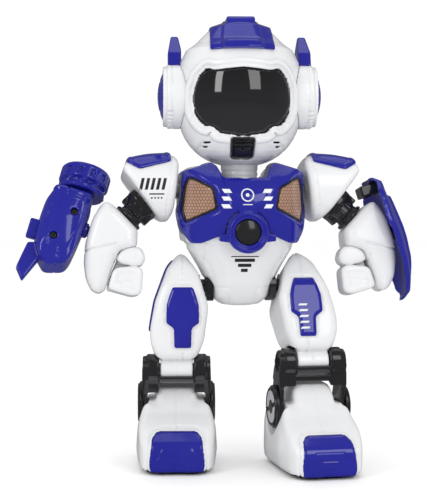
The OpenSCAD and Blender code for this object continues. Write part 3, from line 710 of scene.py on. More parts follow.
step = head["step"]
reach = (-51, -52, -57), (51, 52, 64)
mould("helmet_front_skin", helmetFront, reach[0], (51, 6, 56), step, headPlace, "whiteGloss", "head",
      ("helmet_front",))
mould("helmet_rear_skin", helmetRear, (-51, 2, -57), (51, 50, 56), 1.3, headPlace, "whiteGloss", "head",
      ("helmet_rear",))
mould("visor_bowl", visorLens, (-39, -49, -37), (39, -7, 20), 1.0, headPlace, "smokedLens", "head",
      ("visor",))
mould("crown_cover", crownPanel, (-27, -49, 27), (27, 44, 62), 0.9, headPlace, "blueGloss", "head",
      ("crown_panel",))
mould("mouth_cover", mouthPiece, (-11, -53, -53), (11, -20, -32), 0.55, headPlace, "blackGloss", "head",
      ("mouth_grille",))
for side in (1, -1):
    half = headPlace @ Matrix.Diagonal((side, 1, 1, 1))
    which = names[side]
    mould("ear_cup_" + which, earCup, (33, -27, -29), (60, 27, 25), 0.9, half, "whiteGloss", "head",
          ("ear_cups",))
    mould("ear_disc_" + which, earDisc, (52, -20, -22), (64, 20, 18), 0.8, half, "blueGloss", "head",
          ("ear_discs",))
    mould("antenna_" + which, antenna, (42, -12, 15), (56, 22, 48), 0.8, half, "blueGloss", "head",
          ("antennas",))
mould("neck_column", neckColumn, (-21, -21, 203), (21, 21, 233), 1.0, robotPlace, "whiteGloss", "head",
      ("neck",))
print("head made")


def inked(name, quads, shape, place, finish, body, start=-60, grain=0.9, proud=0.14):
    # each quad is laid on the shape along +y, as a thin closed film
    verts, faces = [], []
    for quad in quads:
        p = np.array(quad, float)
        n = max(1, int(np.ceil(np.linalg.norm(p[1] - p[0]) / grain)))
        m = max(1, int(np.ceil(np.linalg.norm(p[3] - p[0]) / grain)))
        s, t = np.meshgrid(np.linspace(0, 1, n + 1), np.linspace(0, 1, m + 1), indexing="ij")
        s, t = s.ravel()[:, None], t.ravel()[:, None]
        flat = (1 - s) * (1 - t) * p[0] + s * (1 - t) * p[1] + s * t * p[2] + (1 - s) * t * p[3]
        x, z = flat.T
        y = np.full(len(x), float(start))
        for _ in range(70):
            y = y + np.clip(0.8 * shape(x, y, z), -3, 3)
        base, count = len(verts), len(x)
        verts += np.stack([x, y - proud, z], 1).tolist() + np.stack([x, y + 0.4, z], 1).tolist()
        at = lambda i, j, base=base, m=m: base + i * (m + 1) + j
        for i in range(n):
            for j in range(m):
                front = [at(i, j), at(i + 1, j), at(i + 1, j + 1), at(i, j + 1)]
                faces += [front, [v + count for v in front[::-1]]]
        edge = ([at(i, 0) for i in range(n)] + [at(n, j) for j in range(m)]
                + [at(i, m) for i in range(n, 0, -1)] + [at(0, j) for j in range(m, 0, -1)])
        faces += [[a, a + count, b + count, b] for a, b in zip(edge, edge[1:] + edge[:1])]
    return pieceFrom(name, verts, faces, place, finish, body)


def bar(x, z, width, height, slant=0.0):
    return [(x - width / 2 - slant, z - height / 2), (x + width / 2 - slant, z - height / 2),
            (x + width / 2 + slant, z + height / 2), (x - width / 2 + slant, z + height / 2)]


def ring(x, z, inner, outer, count=24):
    turns = [2 * math.pi * k / count for k in range(count + 1)]
    spot = lambda r, a: (x + r * math.cos(a), z + r * math.sin(a))
    return [[spot(inner, a), spot(outer, a), spot(outer, b), spot(inner, b)][::-1]
            for a, b in zip(turns, turns[1:])]


torso = {
    "wall": 2.2,
    "plateLift": 3.2,     # chest plate over the shell
    "paneLift": 1.7,
    "chestRadius": 50,
    "buttonHeight": 176.5,
    "splitY": 4,
    "doorHalfWidth": 24,
    "doorFrom": 160,
    "doorTo": 194,
}

chestFront = softened(mirrored([(0, 214), (17, 214), (24, 226), (36, 226), (46, 219), (46, 190),
                                (44, 180), (42.6, 168)]), 3.0)
torsoSide = softened([(-20, 226), (-33, 216), (-43, 202), (-44.5, 190), (-43, 176), (-34, 167),
                      (-30, 152), (-24, 138), (-17, 127), (-10, 119), (12, 119), (20, 130),
                      (28, 148), (33, 168), (36, 190), (34, 214), (24, 226)], 5.0)
abdomenSection = softened(mirrored([(0, 176), (41.6, 176), (42, 169), (38, 162), (31.4, 151),
                                    (27.8, 144), (22, 127), (15, 121.4), (8, 120), (0, 120)]), 2.5)
plateEdge = softened(mirrored([(0, 216), (10, 219), (24, 229), (30, 226.5), (46, 221), (46.2, 202),
                               (50.4, 190), (50.4, 183), (40, 168), (33, 168), (20.3, 173.5),
                               (17, 169), (0, 169)]), 1.6)
windowEdge = softened([(21.2, 193.5), (24, 209), (37.8, 216.6), (42, 216.8), (44.4, 210),
                       (46.4, 192), (43.6, 183)], 2.2)


def chest(x, y, z, grow=0.0):
    # curved in plan, shaped by its front and side outlines
    plan = np.sqrt(x * x + (y - 6) ** 2) - torso["chestRadius"] - grow
    return allOf(plan, outline(chestFront, x, z) - grow, outline(torsoSide, y, z) - grow, blend=2.5)


def abdomen(x, y, z, grow=0.0):
    section = outline(abdomenSection, np.sqrt(x * x + y * y), z) - grow
    return both(section, outline(torsoSide, y, z) - grow, 2.5)


def torsoBody(x, y, z, grow=0.0):
    return either(chest(x, y, z, grow), abdomen(x, y, z, grow), 2.0)


def legHole(x, y, z, radius, low, high):
    # a bar along each hip, mirrored left to right
    c, s = math.cos(math.radians(5)), math.sin(math.radians(5))
    dx = np.abs(x) - 48
    along, across = c * dx + s * y, c * y - s * dx
    return rod(along, across, z - 135, low, high, radius, 0.3)


def torsoHoles(x, y, z):
    neck = rod(z, x, y, 195, 260, 14.3, 0.3)
    shafts = rod(np.abs(x), y, z - 207, 30, 60, 6.2, 0.3)
    return np.minimum(np.minimum(neck, shafts), legHole(x, y, z, 5.2, -31, 0))


def torsoFront(x, y, z):
    skin = torsoBody(x, y, z)
    side = np.abs(x)
    rim = outline(abdomenSection, x, z)
    lip = np.interp(rim, [-4.6, -3.9, -1], [0, 0.9, 0.9]) * np.interp(z, [141, 143, 163, 166], [0, 1, 1, 0])
    shell = skin - lip * (y < 4)
    # moulded seams of the belly: a centre panel and two short steps
    seam = np.maximum(np.abs(side - 10.2 - 0.06 * (z - 134)) - 0.35, z - 134.5)
    seam = np.minimum(seam, np.maximum(np.abs(z - 134.5) - 0.35, np.maximum(9.9 - side, side - 21)))
    seam = np.minimum(seam, np.maximum(np.abs(side - 30 + 0.1 * (166 - z)) - 0.3, 156 - z))
    shell = without(shell, np.maximum(seam, -skin - 0.6), 0.6)
    shell = without(shell, skin + torso["wall"], 0.5)
    shell = without(shell, torsoHoles(x, y, z), 0.4)
    shell = without(shell, rod(y, x, z - torso["buttonHeight"], -60, -30, 12.9, 0.3), 0.4)
    shell = both(shell, y - torso["splitY"] + 0.12, 0.4)
    for spot in ((34, 212), (33, 176)):
        boss = rod(y, side - spot[0], z - spot[1], -27, 28, 3.2, 0.4)
        shell = either(shell, without(boss, rod(y, side - spot[0], z - spot[1], 18, 40, 1.2, 0.2), 0.2), 0.8)
    return shell


def torsoRear(x, y, z):
    skin = torsoBody(x, y, z)
    side = np.abs(x)
    door = np.maximum(side - torso["doorHalfWidth"], np.maximum(torso["doorFrom"] - z, z - torso["doorTo"]))
    frame = np.interp(door, [0, 2.6, 3.4], [0.7, 0.7, 0])
    yoke = np.maximum(np.abs(z - 219) - 0.4, side - 40)
    flank = np.maximum(np.abs(side - 29.5 - 0.12 * (z - 177)) - 0.4, np.maximum(152 - z, z - 200))
    shell = skin - frame
    shell = without(shell, np.maximum(np.minimum(yoke, flank), -skin - 0.7), 0.6)
    shell = without(shell, skin + torso["wall"], 0.5)
    shell = without(shell, torsoHoles(x, y, z), 0.4)
    shell = without(shell, np.maximum(door, 20 - y), 0.5)
    for spot in ((34, 212), (33, 176)):
        across, up = side - spot[0], z - spot[1]
        shell = without(shell, rod(y, across, up, 10, 60, 1.7, 0.2), 0.2)
        shell = without(shell, rod(y, across, up, 33, 60, 3.3, 0.2), 0.4)
    holes = rod(y, side, z - 202.4, 20, 60, 0.9, 0.2)
    for count in (1, 2):
        for k in range(6 * count):
            a = math.radians(60 * k / count)
            holes = np.minimum(holes, rod(y, x - 3.2 * count * math.cos(a),
                                          z - 202.4 - 3.2 * count * math.sin(a), 20, 60, 0.95, 0.2))
    shell = without(shell, holes, 0.4)
    shell = without(shell, box(x, y, z, (-6, 15, 147), (6, 60, 153), 0.4), 0.6)
    shell = without(shell, rod(y, x, z - 137, 8, 60, 3.1, 0.2), 0.4)
    return both(shell, torso["splitY"] + 0.12 - y, 0.4)


def batteryDoor(x, y, z):
    skin = torsoBody(x, y, z)
    edge = np.maximum(np.abs(x) - torso["doorHalfWidth"] + 0.35,
                      np.maximum(torso["doorFrom"] + 0.35 - z, z - torso["doorTo"] + 0.35))
    panel = allOf(skin, -skin - torso["wall"], edge, 20 - y, blend=0.7)
    # grip ribs under the screw, and a thumb latch at the bottom
    for row in range(5):
        rib = np.maximum(np.abs(z - 180 + 2.6 * row) - 0.55, np.abs(x) - 9 + row)
        panel = without(panel, both(rib, -skin - 0.7, 0.3), 0.6)
    latch = allOf(np.abs(x) - 7, np.abs(z - 164) - 2.2, skin - 0.8, -skin - 1, blend=0.8)
    screw = rod(y, x, z - 188, 20, 60, 1.6, 0.2)
    dish = rod(y, x, z - 188, 34.4, 60, 3.4, 0.4)
    return without(without(either(panel, latch, 0.7), screw, 0.2), dish, 0.6)


def chestPlate(x, y, z):
    skin = chest(x, y, z)
    side = np.abs(x)
    window = outline(windowEdge, side, z)
    lift = torso["plateLift"] + np.interp(window, [0.6, 2.6, 3.8], [-0.9, 0, 0])
    # the middle is drawn in between two creases that run down to the button
    waist = np.interp(side - 9.5 - 0.25 * (z - 185), [-0.7, 0.7], [-0.6, 0])
    waist = waist * np.interp(z, [184, 187], [0, 1])
    shape = allOf(skin - lift - waist, outline(plateEdge, x, z), -skin + 0.02, y + 2, blend=1.5)
    shape = without(shape, np.maximum(window, y + 9), 0.7)
    shape = without(shape, rod(y, x, z - torso["buttonHeight"], -60, -30, 15.9, 0.3), 0.8)
    shape = without(shape, rod(side, y, z - 207, 30, 60, 6.4, 0.3), 0.4)
    return without(shape, np.sqrt(x * x + y * y) - 20, 0.6)


def windowPane(x, y, z):
    skin = chest(x, y, z)
    return allOf(skin - torso["paneLift"], -skin + 0.02, outline(windowEdge, x, z) + 1.5, y + 9.4, blend=0.8)


def windowRim(x, y, z):
    skin = chest(x, y, z)
    edge = outline(windowEdge, x, z)
    slope = skin - torso["paneLift"] - 0.7 + (-edge) * 0.35
    shape = allOf(slope, edge + 0.15, -skin + 0.02, y + 9.2, blend=0.4)
    return without(shape, edge + 1.55, 0.3)


def bezel(x, y, z):
    up = z - torso["buttonHeight"]
    radial = np.sqrt(x * x + up * up)
    ringBody = allOf(radial - 15.5, -50.4 - y, y + 40, radial - 15.6 - (y + 48) * 0.9, blend=0.7)
    dish = both(radial - 12.4, y + 48.9, 0.4)
    tab = allOf(np.abs(x) - 6.4 - (z - 190) * 0.15, z - 196.3, 186 - z, -49.2 - y,
                y + 40, (z - 190) * 0.55 - (y + 49), blend=0.8)
    wing = allOf(np.abs(np.abs(x) - 16.4) - 4.4, np.abs(up + 4.2) - 3.4 + 0.12 * (np.abs(x) - 12),
                 -47.2 - y, y + 38, blend=0.8)
    shape = either(either(ringBody, wing, 0.8), tab, 0.9)
    shape = without(shape, chest(x, y, z) - 0.02, 0.3)
    shape = without(shape, dish, 0.7)
    sleeve = rod(y, x, up, -48, -36, 12.6, 0.4)
    return without(either(shape, sleeve, 0.3), rod(y, x, up, -60, -30, 9.75, 0.2), 0.4)


def buttonDome(x, y, z):
    up = z - torso["buttonHeight"]
    radial = np.sqrt(x * x + up * up)
    ball = np.sqrt(x * x + up * up + (y + 50.2 - 22) ** 2) - 22
    return allOf(radial - 9.55, ball, y + 38, blend=0.9)


mould("torso_front_skin", torsoFront, (-48, -47, 117), (48, 30, 228), 1.1, robotPlace, "whiteGloss",
      "torso", ("torso_front_shell",))
mould("torso_rear_skin", torsoRear, (-48, 2, 117), (48, 39, 228), 0.9, robotPlace, "whiteGloss",
      "torso", ("torso_rear_shell",))
mould("battery_cover", batteryDoor, (-26, 24, 158), (26, 39, 196), 0.7, robotPlace, "whiteGloss",
      "torso", ("battery_door",))
mould("chest_cover", chestPlate, (-54, -50, 166), (54, 1, 231), 0.9, robotPlace, "blueGloss",
      "torso", ("chest_plate",))
for side in (1, -1):
    half = robotPlace @ Matrix.Diagonal((side, 1, 1, 1))
    which = names[side]
    mould("window_pane_" + which, windowPane, (19, -49, 181), (53, -8, 219), 0.7, half,
          "honeycombLens", "torso", ("chest_windows",))
    mould("window_rim_" + which, windowRim, (19, -49, 181), (54, -8, 219), 0.6, half, "blackGloss",
          "torso")
mould("button_surround", bezel, (-22, -52, 158), (22, -34, 199), 0.7, robotPlace, "blueGloss",
      "torso", ("button_bezel",))
mould("button_dome", buttonDome, (-11, -52, 165), (11, -36, 188), 0.6, robotPlace, "blackGloss",
      "chest_button", ("chest_button",))

slashes = [bar(side * (15.0 + 0.3 * row), 206.6 - 5.6 * row, 5.8, 3.0, side * 0.9)
           for side in (1, -1) for row in range(3)]
badge = ring(0, 203.6, 3.9, 4.9) + ring(0, 203.6, 0.0001, 1.5, 6)
inked("chest_marks", slashes + badge + [bar(0, 196.6, 7.2, 0.7)], chestPlate, robotPlace,
      "whiteInk", "torso")
belly = [bar(0, 158.2, 20.5, 0.7), bar(0, 155.4, 15, 2.4), bar(0, 151.6, 10, 2.4),
         bar(0, 147.8, 5, 2.4)]
inked("belly_marks", belly, torsoFront, robotPlace, "blackInk", "torso")
print("torso made")


arm = {
    "wall": 2.2,
    "shaftHeight": 207,
    "padRadius": 28,
    "lean": 47,
    "elbow": (85.5, 185.3),
    "socket": (114.3, 176),
    "socketTilt": 16.3,
    "pegRadius": 4,
    "capLift": 1.6,
}

padEdge = softened([(47.2, 226), (50, 232), (55, 235), (70, 233.5), (85, 229), (90, 220),
                    (66, 188.5), (60, 183.5), (55, 184), (52, 189)], 4.0)
capEdge = softened([(53, 242), (53.5, 226), (77.4, 219.4), (86.5, 225), (88, 242)], 1.8)
cuffEdge = softened([(78, 176.2), (99.6, 199.3), (103.5, 199), (112, 184), (116.7, 168), (118, 153),
                     (116.7, 141), (112, 130), (106.5, 127), (102, 131.5), (98, 146), (92, 160),
                     (79, 163)], 3.0)
cuffSide = softened([(-12, 200), (-17, 190), (-18, 165), (-15, 135), (-10, 127), (10, 127),
                     (15, 135), (18, 165), (17, 190), (12, 200)], 4.0)


def pad(x, y, z, grow=0.0):
    drum = np.sqrt(y * y + (z - arm["shaftHeight"] - 1) ** 2) - arm["padRadius"] - grow
    return both(outline(padEdge, x, z) - grow, drum, 5.0)


def atElbow(x, y, z):
    return turned(x, y, z, arm["lean"], arm["elbow"])


def shoulderShell(x, y, z):
    skin = pad(x, y, z)
    # a shallow step along the inner edge, and one line over the crown
    inner = x - 53 - 0.12 * (226 - z)
    step = np.maximum(np.abs(inner) - 0.4, -skin - 0.6)
    shell = without(skin, step, 0.6)
    shell = without(shell, skin + arm["wall"], 0.5)
    shell = without(shell, rod(x, y, z - 207, 40, 56, 6.1, 0.3), 0.3)
    u, v, w = atElbow(x, y, z)
    return without(shell, rod(w, u, v, 0, 30, 8, 0.3), 0.3)


def shoulderCap(x, y, z):
    skin = pad(x, y, z)
    edge = outline(capEdge, x, z)
    # bevelled border round a slightly sunk field
    lift = arm["capLift"] - np.interp(edge, [-4.2, -3.4, -1.6, 0], [0.5, 0, 0, 0.6])
    return allOf(skin - lift, edge, -skin - 0.4, blend=0.4)


def upperArm(x, y, z):
    u, v, w = atElbow(x, y, z)
    radial = np.sqrt(u * u + v * v)
    flange = rod(w, u, v, 0.1, 2.5, 11.6, 0.8)
    # squared neck that opens out towards the shoulder
    square = (np.abs(u) ** 4 + np.abs(v) ** 4) ** 0.25
    flare = np.interp(w, [0, 7, 8.6, 14, 26], [9.4, 9.0, 10.2, 13.2, 13.4])
    neck = allOf(0.5 * (square + radial) - flare, -w, w - 25, blend=0.8)
    front = box(u, np.abs(v), w, (-4.4, 4, 3), (4.4, 11.6, 15.5), 1.0)
    ears = box(np.abs(u), v, w, (5, -4.8, 6.2), (12.6, 4.8, 17), 1.0)
    shape = either(either(flange, neck, 0.6), np.minimum(front, ears), 0.5)
    slot = box(u, np.abs(v), w, (-2.0, 11.0, 5.2), (2.0, 14, 12.5), 0.4)
    groove = np.maximum(np.abs(w - 4.6) - 0.5, 9.0 - radial)
    shape = without(without(shape, slot, 0.5), groove, 0.5)
    shape = without(shape, pad(x, y, z) - 0.05, 0.3)
    inner = rod(w, u, v, 4, 21, 7.9, 0.3)
    pin = either(rod(w, u, v, -13, 0.5, 6, 0.3), rod(w, u, v, -14.5, -12.9, 8, 0.4), 0.3)
    return either(either(shape, inner, 0.3), pin, 0.3)


def cuff(x, y, z, grow=0.0):
    return both(outline(cuffEdge, x, z) - grow, outline(cuffSide, y, z) - grow, 9.0)


def forearmShell(x, y, z):
    skin = cuff(x, y, z)
    # parting line round the cuff, with a lip below it on the outer side
    u, _, w = turned(x, y, z, -12, (110, 162))
    line = np.maximum(np.abs(w) - 0.55, 94 - x)
    seamDown = np.maximum(np.abs(x - 95.5 - 0.18 * (z - 150)) - 0.3, np.maximum(z - 158, y))
    shell = without(skin, np.maximum(line, -skin - 0.8), 0.7)
    shell = without(shell, np.maximum(seamDown, -skin - 0.5), 0.6)
    shell = without(shell, skin + arm["wall"], 0.6)
    u, v, w = atElbow(x, y, z)
    shell = without(shell, rod(w, u, v, -8, 2, 6.1, 0.3), 0.3)
    u, v, w = turned(x, y, z, arm["socketTilt"], arm["socket"])
    return without(shell, rod(u, v, w, -8, 6, arm["pegRadius"] + 0.1, 0.2), 0.3)


def hand(x, y, z):
    palmEdge = outline(softened([(80, 162.2), (91.3, 159.6), (97.4, 145.8), (101.4, 132), (96, 131),
                                 (79, 128), (77, 131), (77, 147), (79, 149)], 2.5), x, z)
    palm = both(palmEdge, np.maximum(-5.5 - y, y - 12), 3.0)
    blockEdge = outline(softened([(74.5, 146.5), (80, 149.2), (96.6, 147.6), (101.2, 132), (82, 126.4),
                                  (76, 128.6)], 4.5), x, z)
    block = both(blockEdge, np.maximum(-15.2 - y, y - 8), 3.4)
    # sunk field and knuckle line on the fingers
    field = outline(softened([(79.5, 143.5), (92.5, 144.5), (95.5, 134.5), (82, 130.5)], 2.5), x, z)
    block = without(block, both(field, y + 14.7, 0.6), 0.9)
    block = without(block, np.maximum(np.abs(z - 137.6 + 0.1 * (x - 88)) - 0.35,
                                      np.maximum(y + 14.2, np.abs(x - 87.5) - 6.5)), 0.5)
    thumbEdge = outline(softened([(72.6, 154.5), (75.5, 162.6), (84, 163.6), (91.6, 159.8),
                                  (94.6, 153.6), (91, 150.6), (80, 148.4), (75, 149.6)], 3.5), x, z)
    thumb = both(thumbEdge, np.maximum(-15.4 - y, y - 5), 4.2)
    shape = either(palm, block, 0.8)
    return either(shape, without(thumb, cuff(x, y, z) - 0.05, 0.3), 0.5)


def handKeptClear(x, y, z):
    return without(hand(x, y, z), cuff(x, y, z) - 0.05, 0.3)


for side in (1, -1):
    which, at = names[side], armPlace(side)
    mould("shoulder_skin_" + which, shoulderShell, (45, -31, 181), (93, 31, 238), 1.1, at,
          "whiteGloss", "arm_" + which, ("shoulder_shell_" + which,))
    mould("shoulder_cover_" + which, shoulderCap, (51, -32, 217), (91, 32, 239), 0.9, at,
          "blueGloss", "arm_" + which, ("shoulder_cap_" + which,))
    mould("upper_arm_body_" + which, upperArm, (58, -15, 168), (104, 15, 214), 0.75, at,
          "blackGloss", "arm_" + which, ("upper_arm_" + which,))
    mould("forearm_skin_" + which, forearmShell, (76, -20, 124), (120, 20, 202), 0.9, at,
          "whiteGloss", "forearm_" + which, ("forearm_shell_" + which,))
    mould("hand_block_" + which, handKeptClear, (71, -17, 124), (103, 14, 166), 0.8, at,
          "whiteGloss", "forearm_" + which, ("hand_" + which,))

# generic marks on the right shoulder: a hatched block, a short line and four dots
padMarks = [bar(59.5 + 4.1 * k, 208.0, 2.2, 8.6, -1.0) for k in range(5)]
padMarks += [bar(65.0, 200.6, 11.0, 0.9)] + [bar(61.4 + 2.4 * k, 197.8, 1.1, 1.1) for k in range(4)]
inked("shoulder_marks", padMarks, shoulderShell, armPlace(-1), "blackInk", "arm_right", start=-40)
print("arms made")


cannon = {
    "tilt": 15,
    "barrelRadius": 18.6,
    "muzzleAt": (13.6, 26.8),
    "notches": 12,
    "screws": ((14, 6), (24, -16)),
}

cannonFront = softened([(5, 26.6), (3.5, 20), (2, 12), (5, -15), (7, -27), (10, -33), (24, -38),
                        (31, -30), (37, -19), (38.3, 0), (37.3, 13), (32, 24), (28, 26.6)], 3.0)
cannonSide = softened([(-13, 27), (-17, 20), (-18.5, 0), (-16, -20), (-12, -38), (12, -38),
                       (16, -20), (18.5, 0), (17, 20), (13, 27)], 3.0)
muzzleProfile = mirrored([(0, 0), (17, 0), (17.6, 1.2), (17.6, 3.4), (15.5, 5), (15.5, 6.6),
                          (19, 8), (19, 17.5), (17.4, 19.5), (12, 19.5), (11, 17.5), (9, 17.5),
                          (9, 6), (0, 6)])


def cannonForm(x, y, z, grow=0.0):
    barrel = np.sqrt((x - 20) ** 2 + y * y) - cannon["barrelRadius"] - grow
    return allOf(outline(cannonFront, x, z) - grow, barrel, outline(cannonSide, y, z) - grow, blend=2.2)


def cannonBody(x, y, z):
    skin = cannonForm(x, y, z)
    # shallow panel on both flanks, with a bevelled border
    panel = outline(softened([(9, 18), (30, 18), (34, -6), (27, -24), (12, -24), (7.5, -2)], 3.0), x, z)
    sunk = np.interp(panel, [-1.2, 0], [0.9, 0])
    band = np.interp(np.abs(z - 22.6), [1.2, 1.7], [0.8, 0])
    shape = skin - band + sunk
    parting = np.maximum(np.abs(x - 20 - 0.1 * z) - 0.3, np.maximum(-skin - 0.5, -np.abs(y) + 6))
    shape = without(shape, parting, 0.4)
    shape = without(shape, skin + 2.2, 0.5)
    for across, up in cannon["screws"]:
        shape = without(shape, rod(y, x - across, z - up, -24, -10, 2.7, 0.4), 0.8)
    shape = without(shape, box(x, y, z, (30, -3.6, -18), (42, 3.6, -2), 0.3), 0.4)
    fin = outline(softened([(28, -29), (33, -20), (41, -22), (44, -43), (37, -52)], 1.5), x, z)
    fin = allOf(fin, np.abs(y) - 4 + 0.06 * np.maximum(-30 - z, 0), blend=1.6)
    shape = either(shape, without(fin, skin + 2.6, 0.3), 1.2)
    peg = either(rod(x, y, z, -7, 6, 4, 0.4), rod(x, y, z, 0.8, 6, 5.6, 0.7), 0.5)
    return either(shape, peg, 0.6)


def cannonMuzzle(x, y, z):
    radial, around = np.sqrt(x * x + y * y), np.arctan2(y, x)
    shape = outline(muzzleProfile, radial, z)
    # swept ribs wind round the collar under the ring
    sweep = np.abs(np.mod(around / (2 * math.pi) * 9 + z / 9.0, 1.0) - 0.5)
    rib = allOf(radial - 18.0 + np.interp(sweep, [0.1, 0.32], [0, 2.6]), 0.6 - z, z - 7.6, 12 - radial,
                blend=0.6)
    shape = either(shape, rib, 0.5)
    notch = np.mod(around, 2 * math.pi / cannon["notches"]) - math.pi / cannon["notches"]
    cut = allOf(np.abs(notch * radial) - 1.7, 17.3 - radial, np.abs(z - 12.5) - 2.6, blend=0.4)
    return without(shape, cut, 0.7)


def cannonTrigger(x, y, z):
    guard = box(x, y, z, (33, -3.2, -17.6), (44, 3.2, -2.4), 1.6)
    foot = box(x, y, z, (31, -4.6, -14.6), (33.2, 4.6, -5.4), 0.5)
    ridges = np.maximum(np.abs(np.mod(z, 2.6) - 1.3) - 0.4, np.maximum(43.2 - x, np.abs(z + 10) - 6))
    return either(without(guard, ridges, 0.5), foot, 0.3)


cannonPlace = armPlace(-1) @ shift(114.3, 0, 176) @ spin(-arm["socketTilt"], "Y") @ spin(-cannon["tilt"], "X")
mould("cannon_barrel", cannonBody, (-8, -20, -53), (46, 20, 28.4), 0.95, cannonPlace, "blueGloss",
      "cannon", ("cannon_body",))
mould("cannon_ring", cannonMuzzle, (-20.5, -20.5, -1), (20.5, 20.5, 21), 0.8,
      cannonPlace @ shift(cannon["muzzleAt"][0], 0, cannon["muzzleAt"][1]), "blueGloss", "cannon",
      ("cannon_muzzle",))
mould("cannon_slide", cannonTrigger, (30, -6, -19), (45, 6, -1), 0.6, cannonPlace, "blueGloss",
      "cannon_trigger", ("cannon_trigger",))


def screwHead(x, y, z):
    shape = rod(y, x, z, -1.4, 1.2, 2.3, 0.6)
    cross = np.minimum(np.maximum(np.abs(x) - 0.35, np.abs(z) - 1.5),
                       np.maximum(np.abs(z) - 0.35, np.abs(x) - 1.5))
    return without(shape, np.maximum(cross, y + 0.5), 0.3)


for k, (across, up) in enumerate(cannon["screws"]):
    mould("cannon_screw_%d" % (k + 1), screwHead, (-3, -2, -3), (3, 2, 3), 0.3,
          cannonPlace @ shift(across, -13.6, up), "blackGloss", "cannon")
print("cannon made")


shield = {"wall": 2.8, "panelLift": 1.8, "axisAt": -40.4}

shieldProfile = [(39.6, 42), (45.6, 37), (48, 22), (50, 0), (50, -9), (48.6, -24), (44.6, -40),
                 (41.2, -49), (35, -54.5)]
shieldEdge = softened([(0, -55), (-16, -46), (-29, -20), (-32, 8), (-26, 30), (-14, 42), (14, 42),
                       (26, 30), (32, 8), (29, -20), (16, -46)], 4.0)
shieldPanel = softened([(0, -44), (-13, -30), (-18, 4), (-10, 26), (10, 26), (18, 4), (13, -30)], 2.5)


def shieldPlate(x, y, z):
    radial = np.sqrt((x - shield["axisAt"]) ** 2 + y * y)
    heights = [p[1] for p in shieldProfile][::-1]
    face = radial - np.interp(z, heights, [p[0] for p in shieldProfile][::-1])
    edge = outline(shieldEdge, y, z)
    # folded border, raised middle panel and one chevron fold near the top
    lift = np.interp(edge, [-5.2, -4.2], [0, 0.7])
    lift = np.maximum(lift, shield["panelLift"] * np.interp(outline(shieldPanel, y, z), [-1.4, 0], [1, 0]))
    fold = np.abs(z - 31 + 0.35 * np.abs(y)) - 0.5
    lift = lift - 0.6 * np.interp(fold, [0, 0.6], [1, 0])
    slope = 0.93
    return allOf((face - lift) * slope, (-face - shield["wall"]) * slope, edge, -12 - x, blend=0.9)


def shieldBracket(x, y, z):
    radial = np.sqrt((x - shield["axisAt"]) ** 2 + y * y)
    heights = [p[1] for p in shieldProfile][::-1]
    face = radial - np.interp(z, heights, [p[0] for p in shieldProfile][::-1])
    clip = without(box(x, y, z, (-12.5, -9, 29.5), (4, 9, 38), 0.9),
                   box(x, y, z, (-10.5, -7, 28), (-2, 7, 36), 0.7), 0.6)
    foot = box(x, y, z, (0.8, -8, -8), (8, 8, 8), 0.9)
    peg = rod(x, y, z, -7, 2, arm["pegRadius"], 0.4)
    shape = either(either(clip, foot, 0.3), peg, 0.8)
    return without(shape, -face - shield["wall"] - 0.02, 0.3)


toolPlace = armPlace(1) @ shift(114.3, 0, 176) @ spin(-arm["socketTilt"], "Y")
mould("shield_face", shieldPlate, (-10, -34, -57), (14, 34, 44), 0.95, toolPlace, "blueGloss",
      "shield", ("shield_plate",))
mould("shield_clip", shieldBracket, (-14, -11, -10), (10, 11, 40), 0.75, toolPlace, "blackGloss",
      "shield", ("shield_bracket",))
print("shield made")


leg = {
    "wall": 2.2,
    "thighLength": 62,
    "shinLength": 35,
    "ankleHeight": 45,
    "panelLift": 2.0,
    "capLift": 1.8,
    "discRadius": 16.2,
    "kneeRadius": 10.5,
}

thighFront = softened([(-5, 25.5), (-11.4, 16), (-16, 9), (-19, 0), (-21, -8), (-23, -14),
                       (-23.5, -20), (-20.5, -42), (-17, -51), (-12.5, -58.4), (12.5, -58.4),
                       (17, -51), (19.7, -42), (19.7, -33), (16, -13), (7, 12), (-1, 24)], 2.5)
thighSide = softened([(-8, 26), (8, 26), (18, 18), (22, 6), (22, -10), (17, -44), (13, -58.4),
                      (-13, -58.4), (-17, -50), (-22, -25), (-23, -4), (-18, 16)], 5.0)
panelEdge = softened([(-12.4, -3), (3.4, -3), (7.6, -17), (7.9, -30), (2.3, -34), (1.8, -48.5),
                      (-10.8, -48.5), (-11.3, -34), (-16.9, -30), (-16.6, -17)], 1.6)
crescentEdge = softened([(-6, 20), (8, 17), (13, 4), (14, -12), (9, -30), (2, -36), (-7, -28),
                         (-13, -10), (-12, 8)], 4.0)


def thighForm(x, y, z):
    return both(outline(thighFront, x, z), outline(thighSide, y, z), 7.0)


def thighShell(x, y, z):
    skin = thighForm(x, y, z)
    seam = np.maximum(np.abs(x + 4.5) - 0.3, -skin - 0.7)
    # pressed line round the front panel, and one across the foot of the thigh
    border = np.maximum(np.abs(outline(panelEdge, x, z) - 1.0) - 0.5, np.maximum(y + 4, -skin - 0.6))
    shell = without(without(skin, seam, 0.7), border, 0.5)
    shell = without(shell, skin + leg["wall"], 0.6)
    shell = either(shell, rod(x, y, z, -18, 3.8, 8.5, 0.4), 0.5)
    shell = without(shell, rod(x, y, z, -30, 4, 5.1, 0.3), 0.3)
    knee = z + leg["thighLength"]
    shell = without(shell, rod(np.abs(x), y, knee, 12.6, 40, 12, 0.3), 0.4)
    shell = without(shell, rod(x, y, knee, -13, 13, 8, 0.3), 0.3)
    knuckle = without(rod(x, y, knee, -12, 12, 8.6, 1.0), rod(x, y, knee, -14, 14, 3.6, 0.3), 0.3)
    knuckle = without(knuckle, np.maximum(np.abs(x) - 0.3, 8.1 - np.sqrt(y * y + knee * knee)), 0.4)
    return either(shell, knuckle, 0.6)


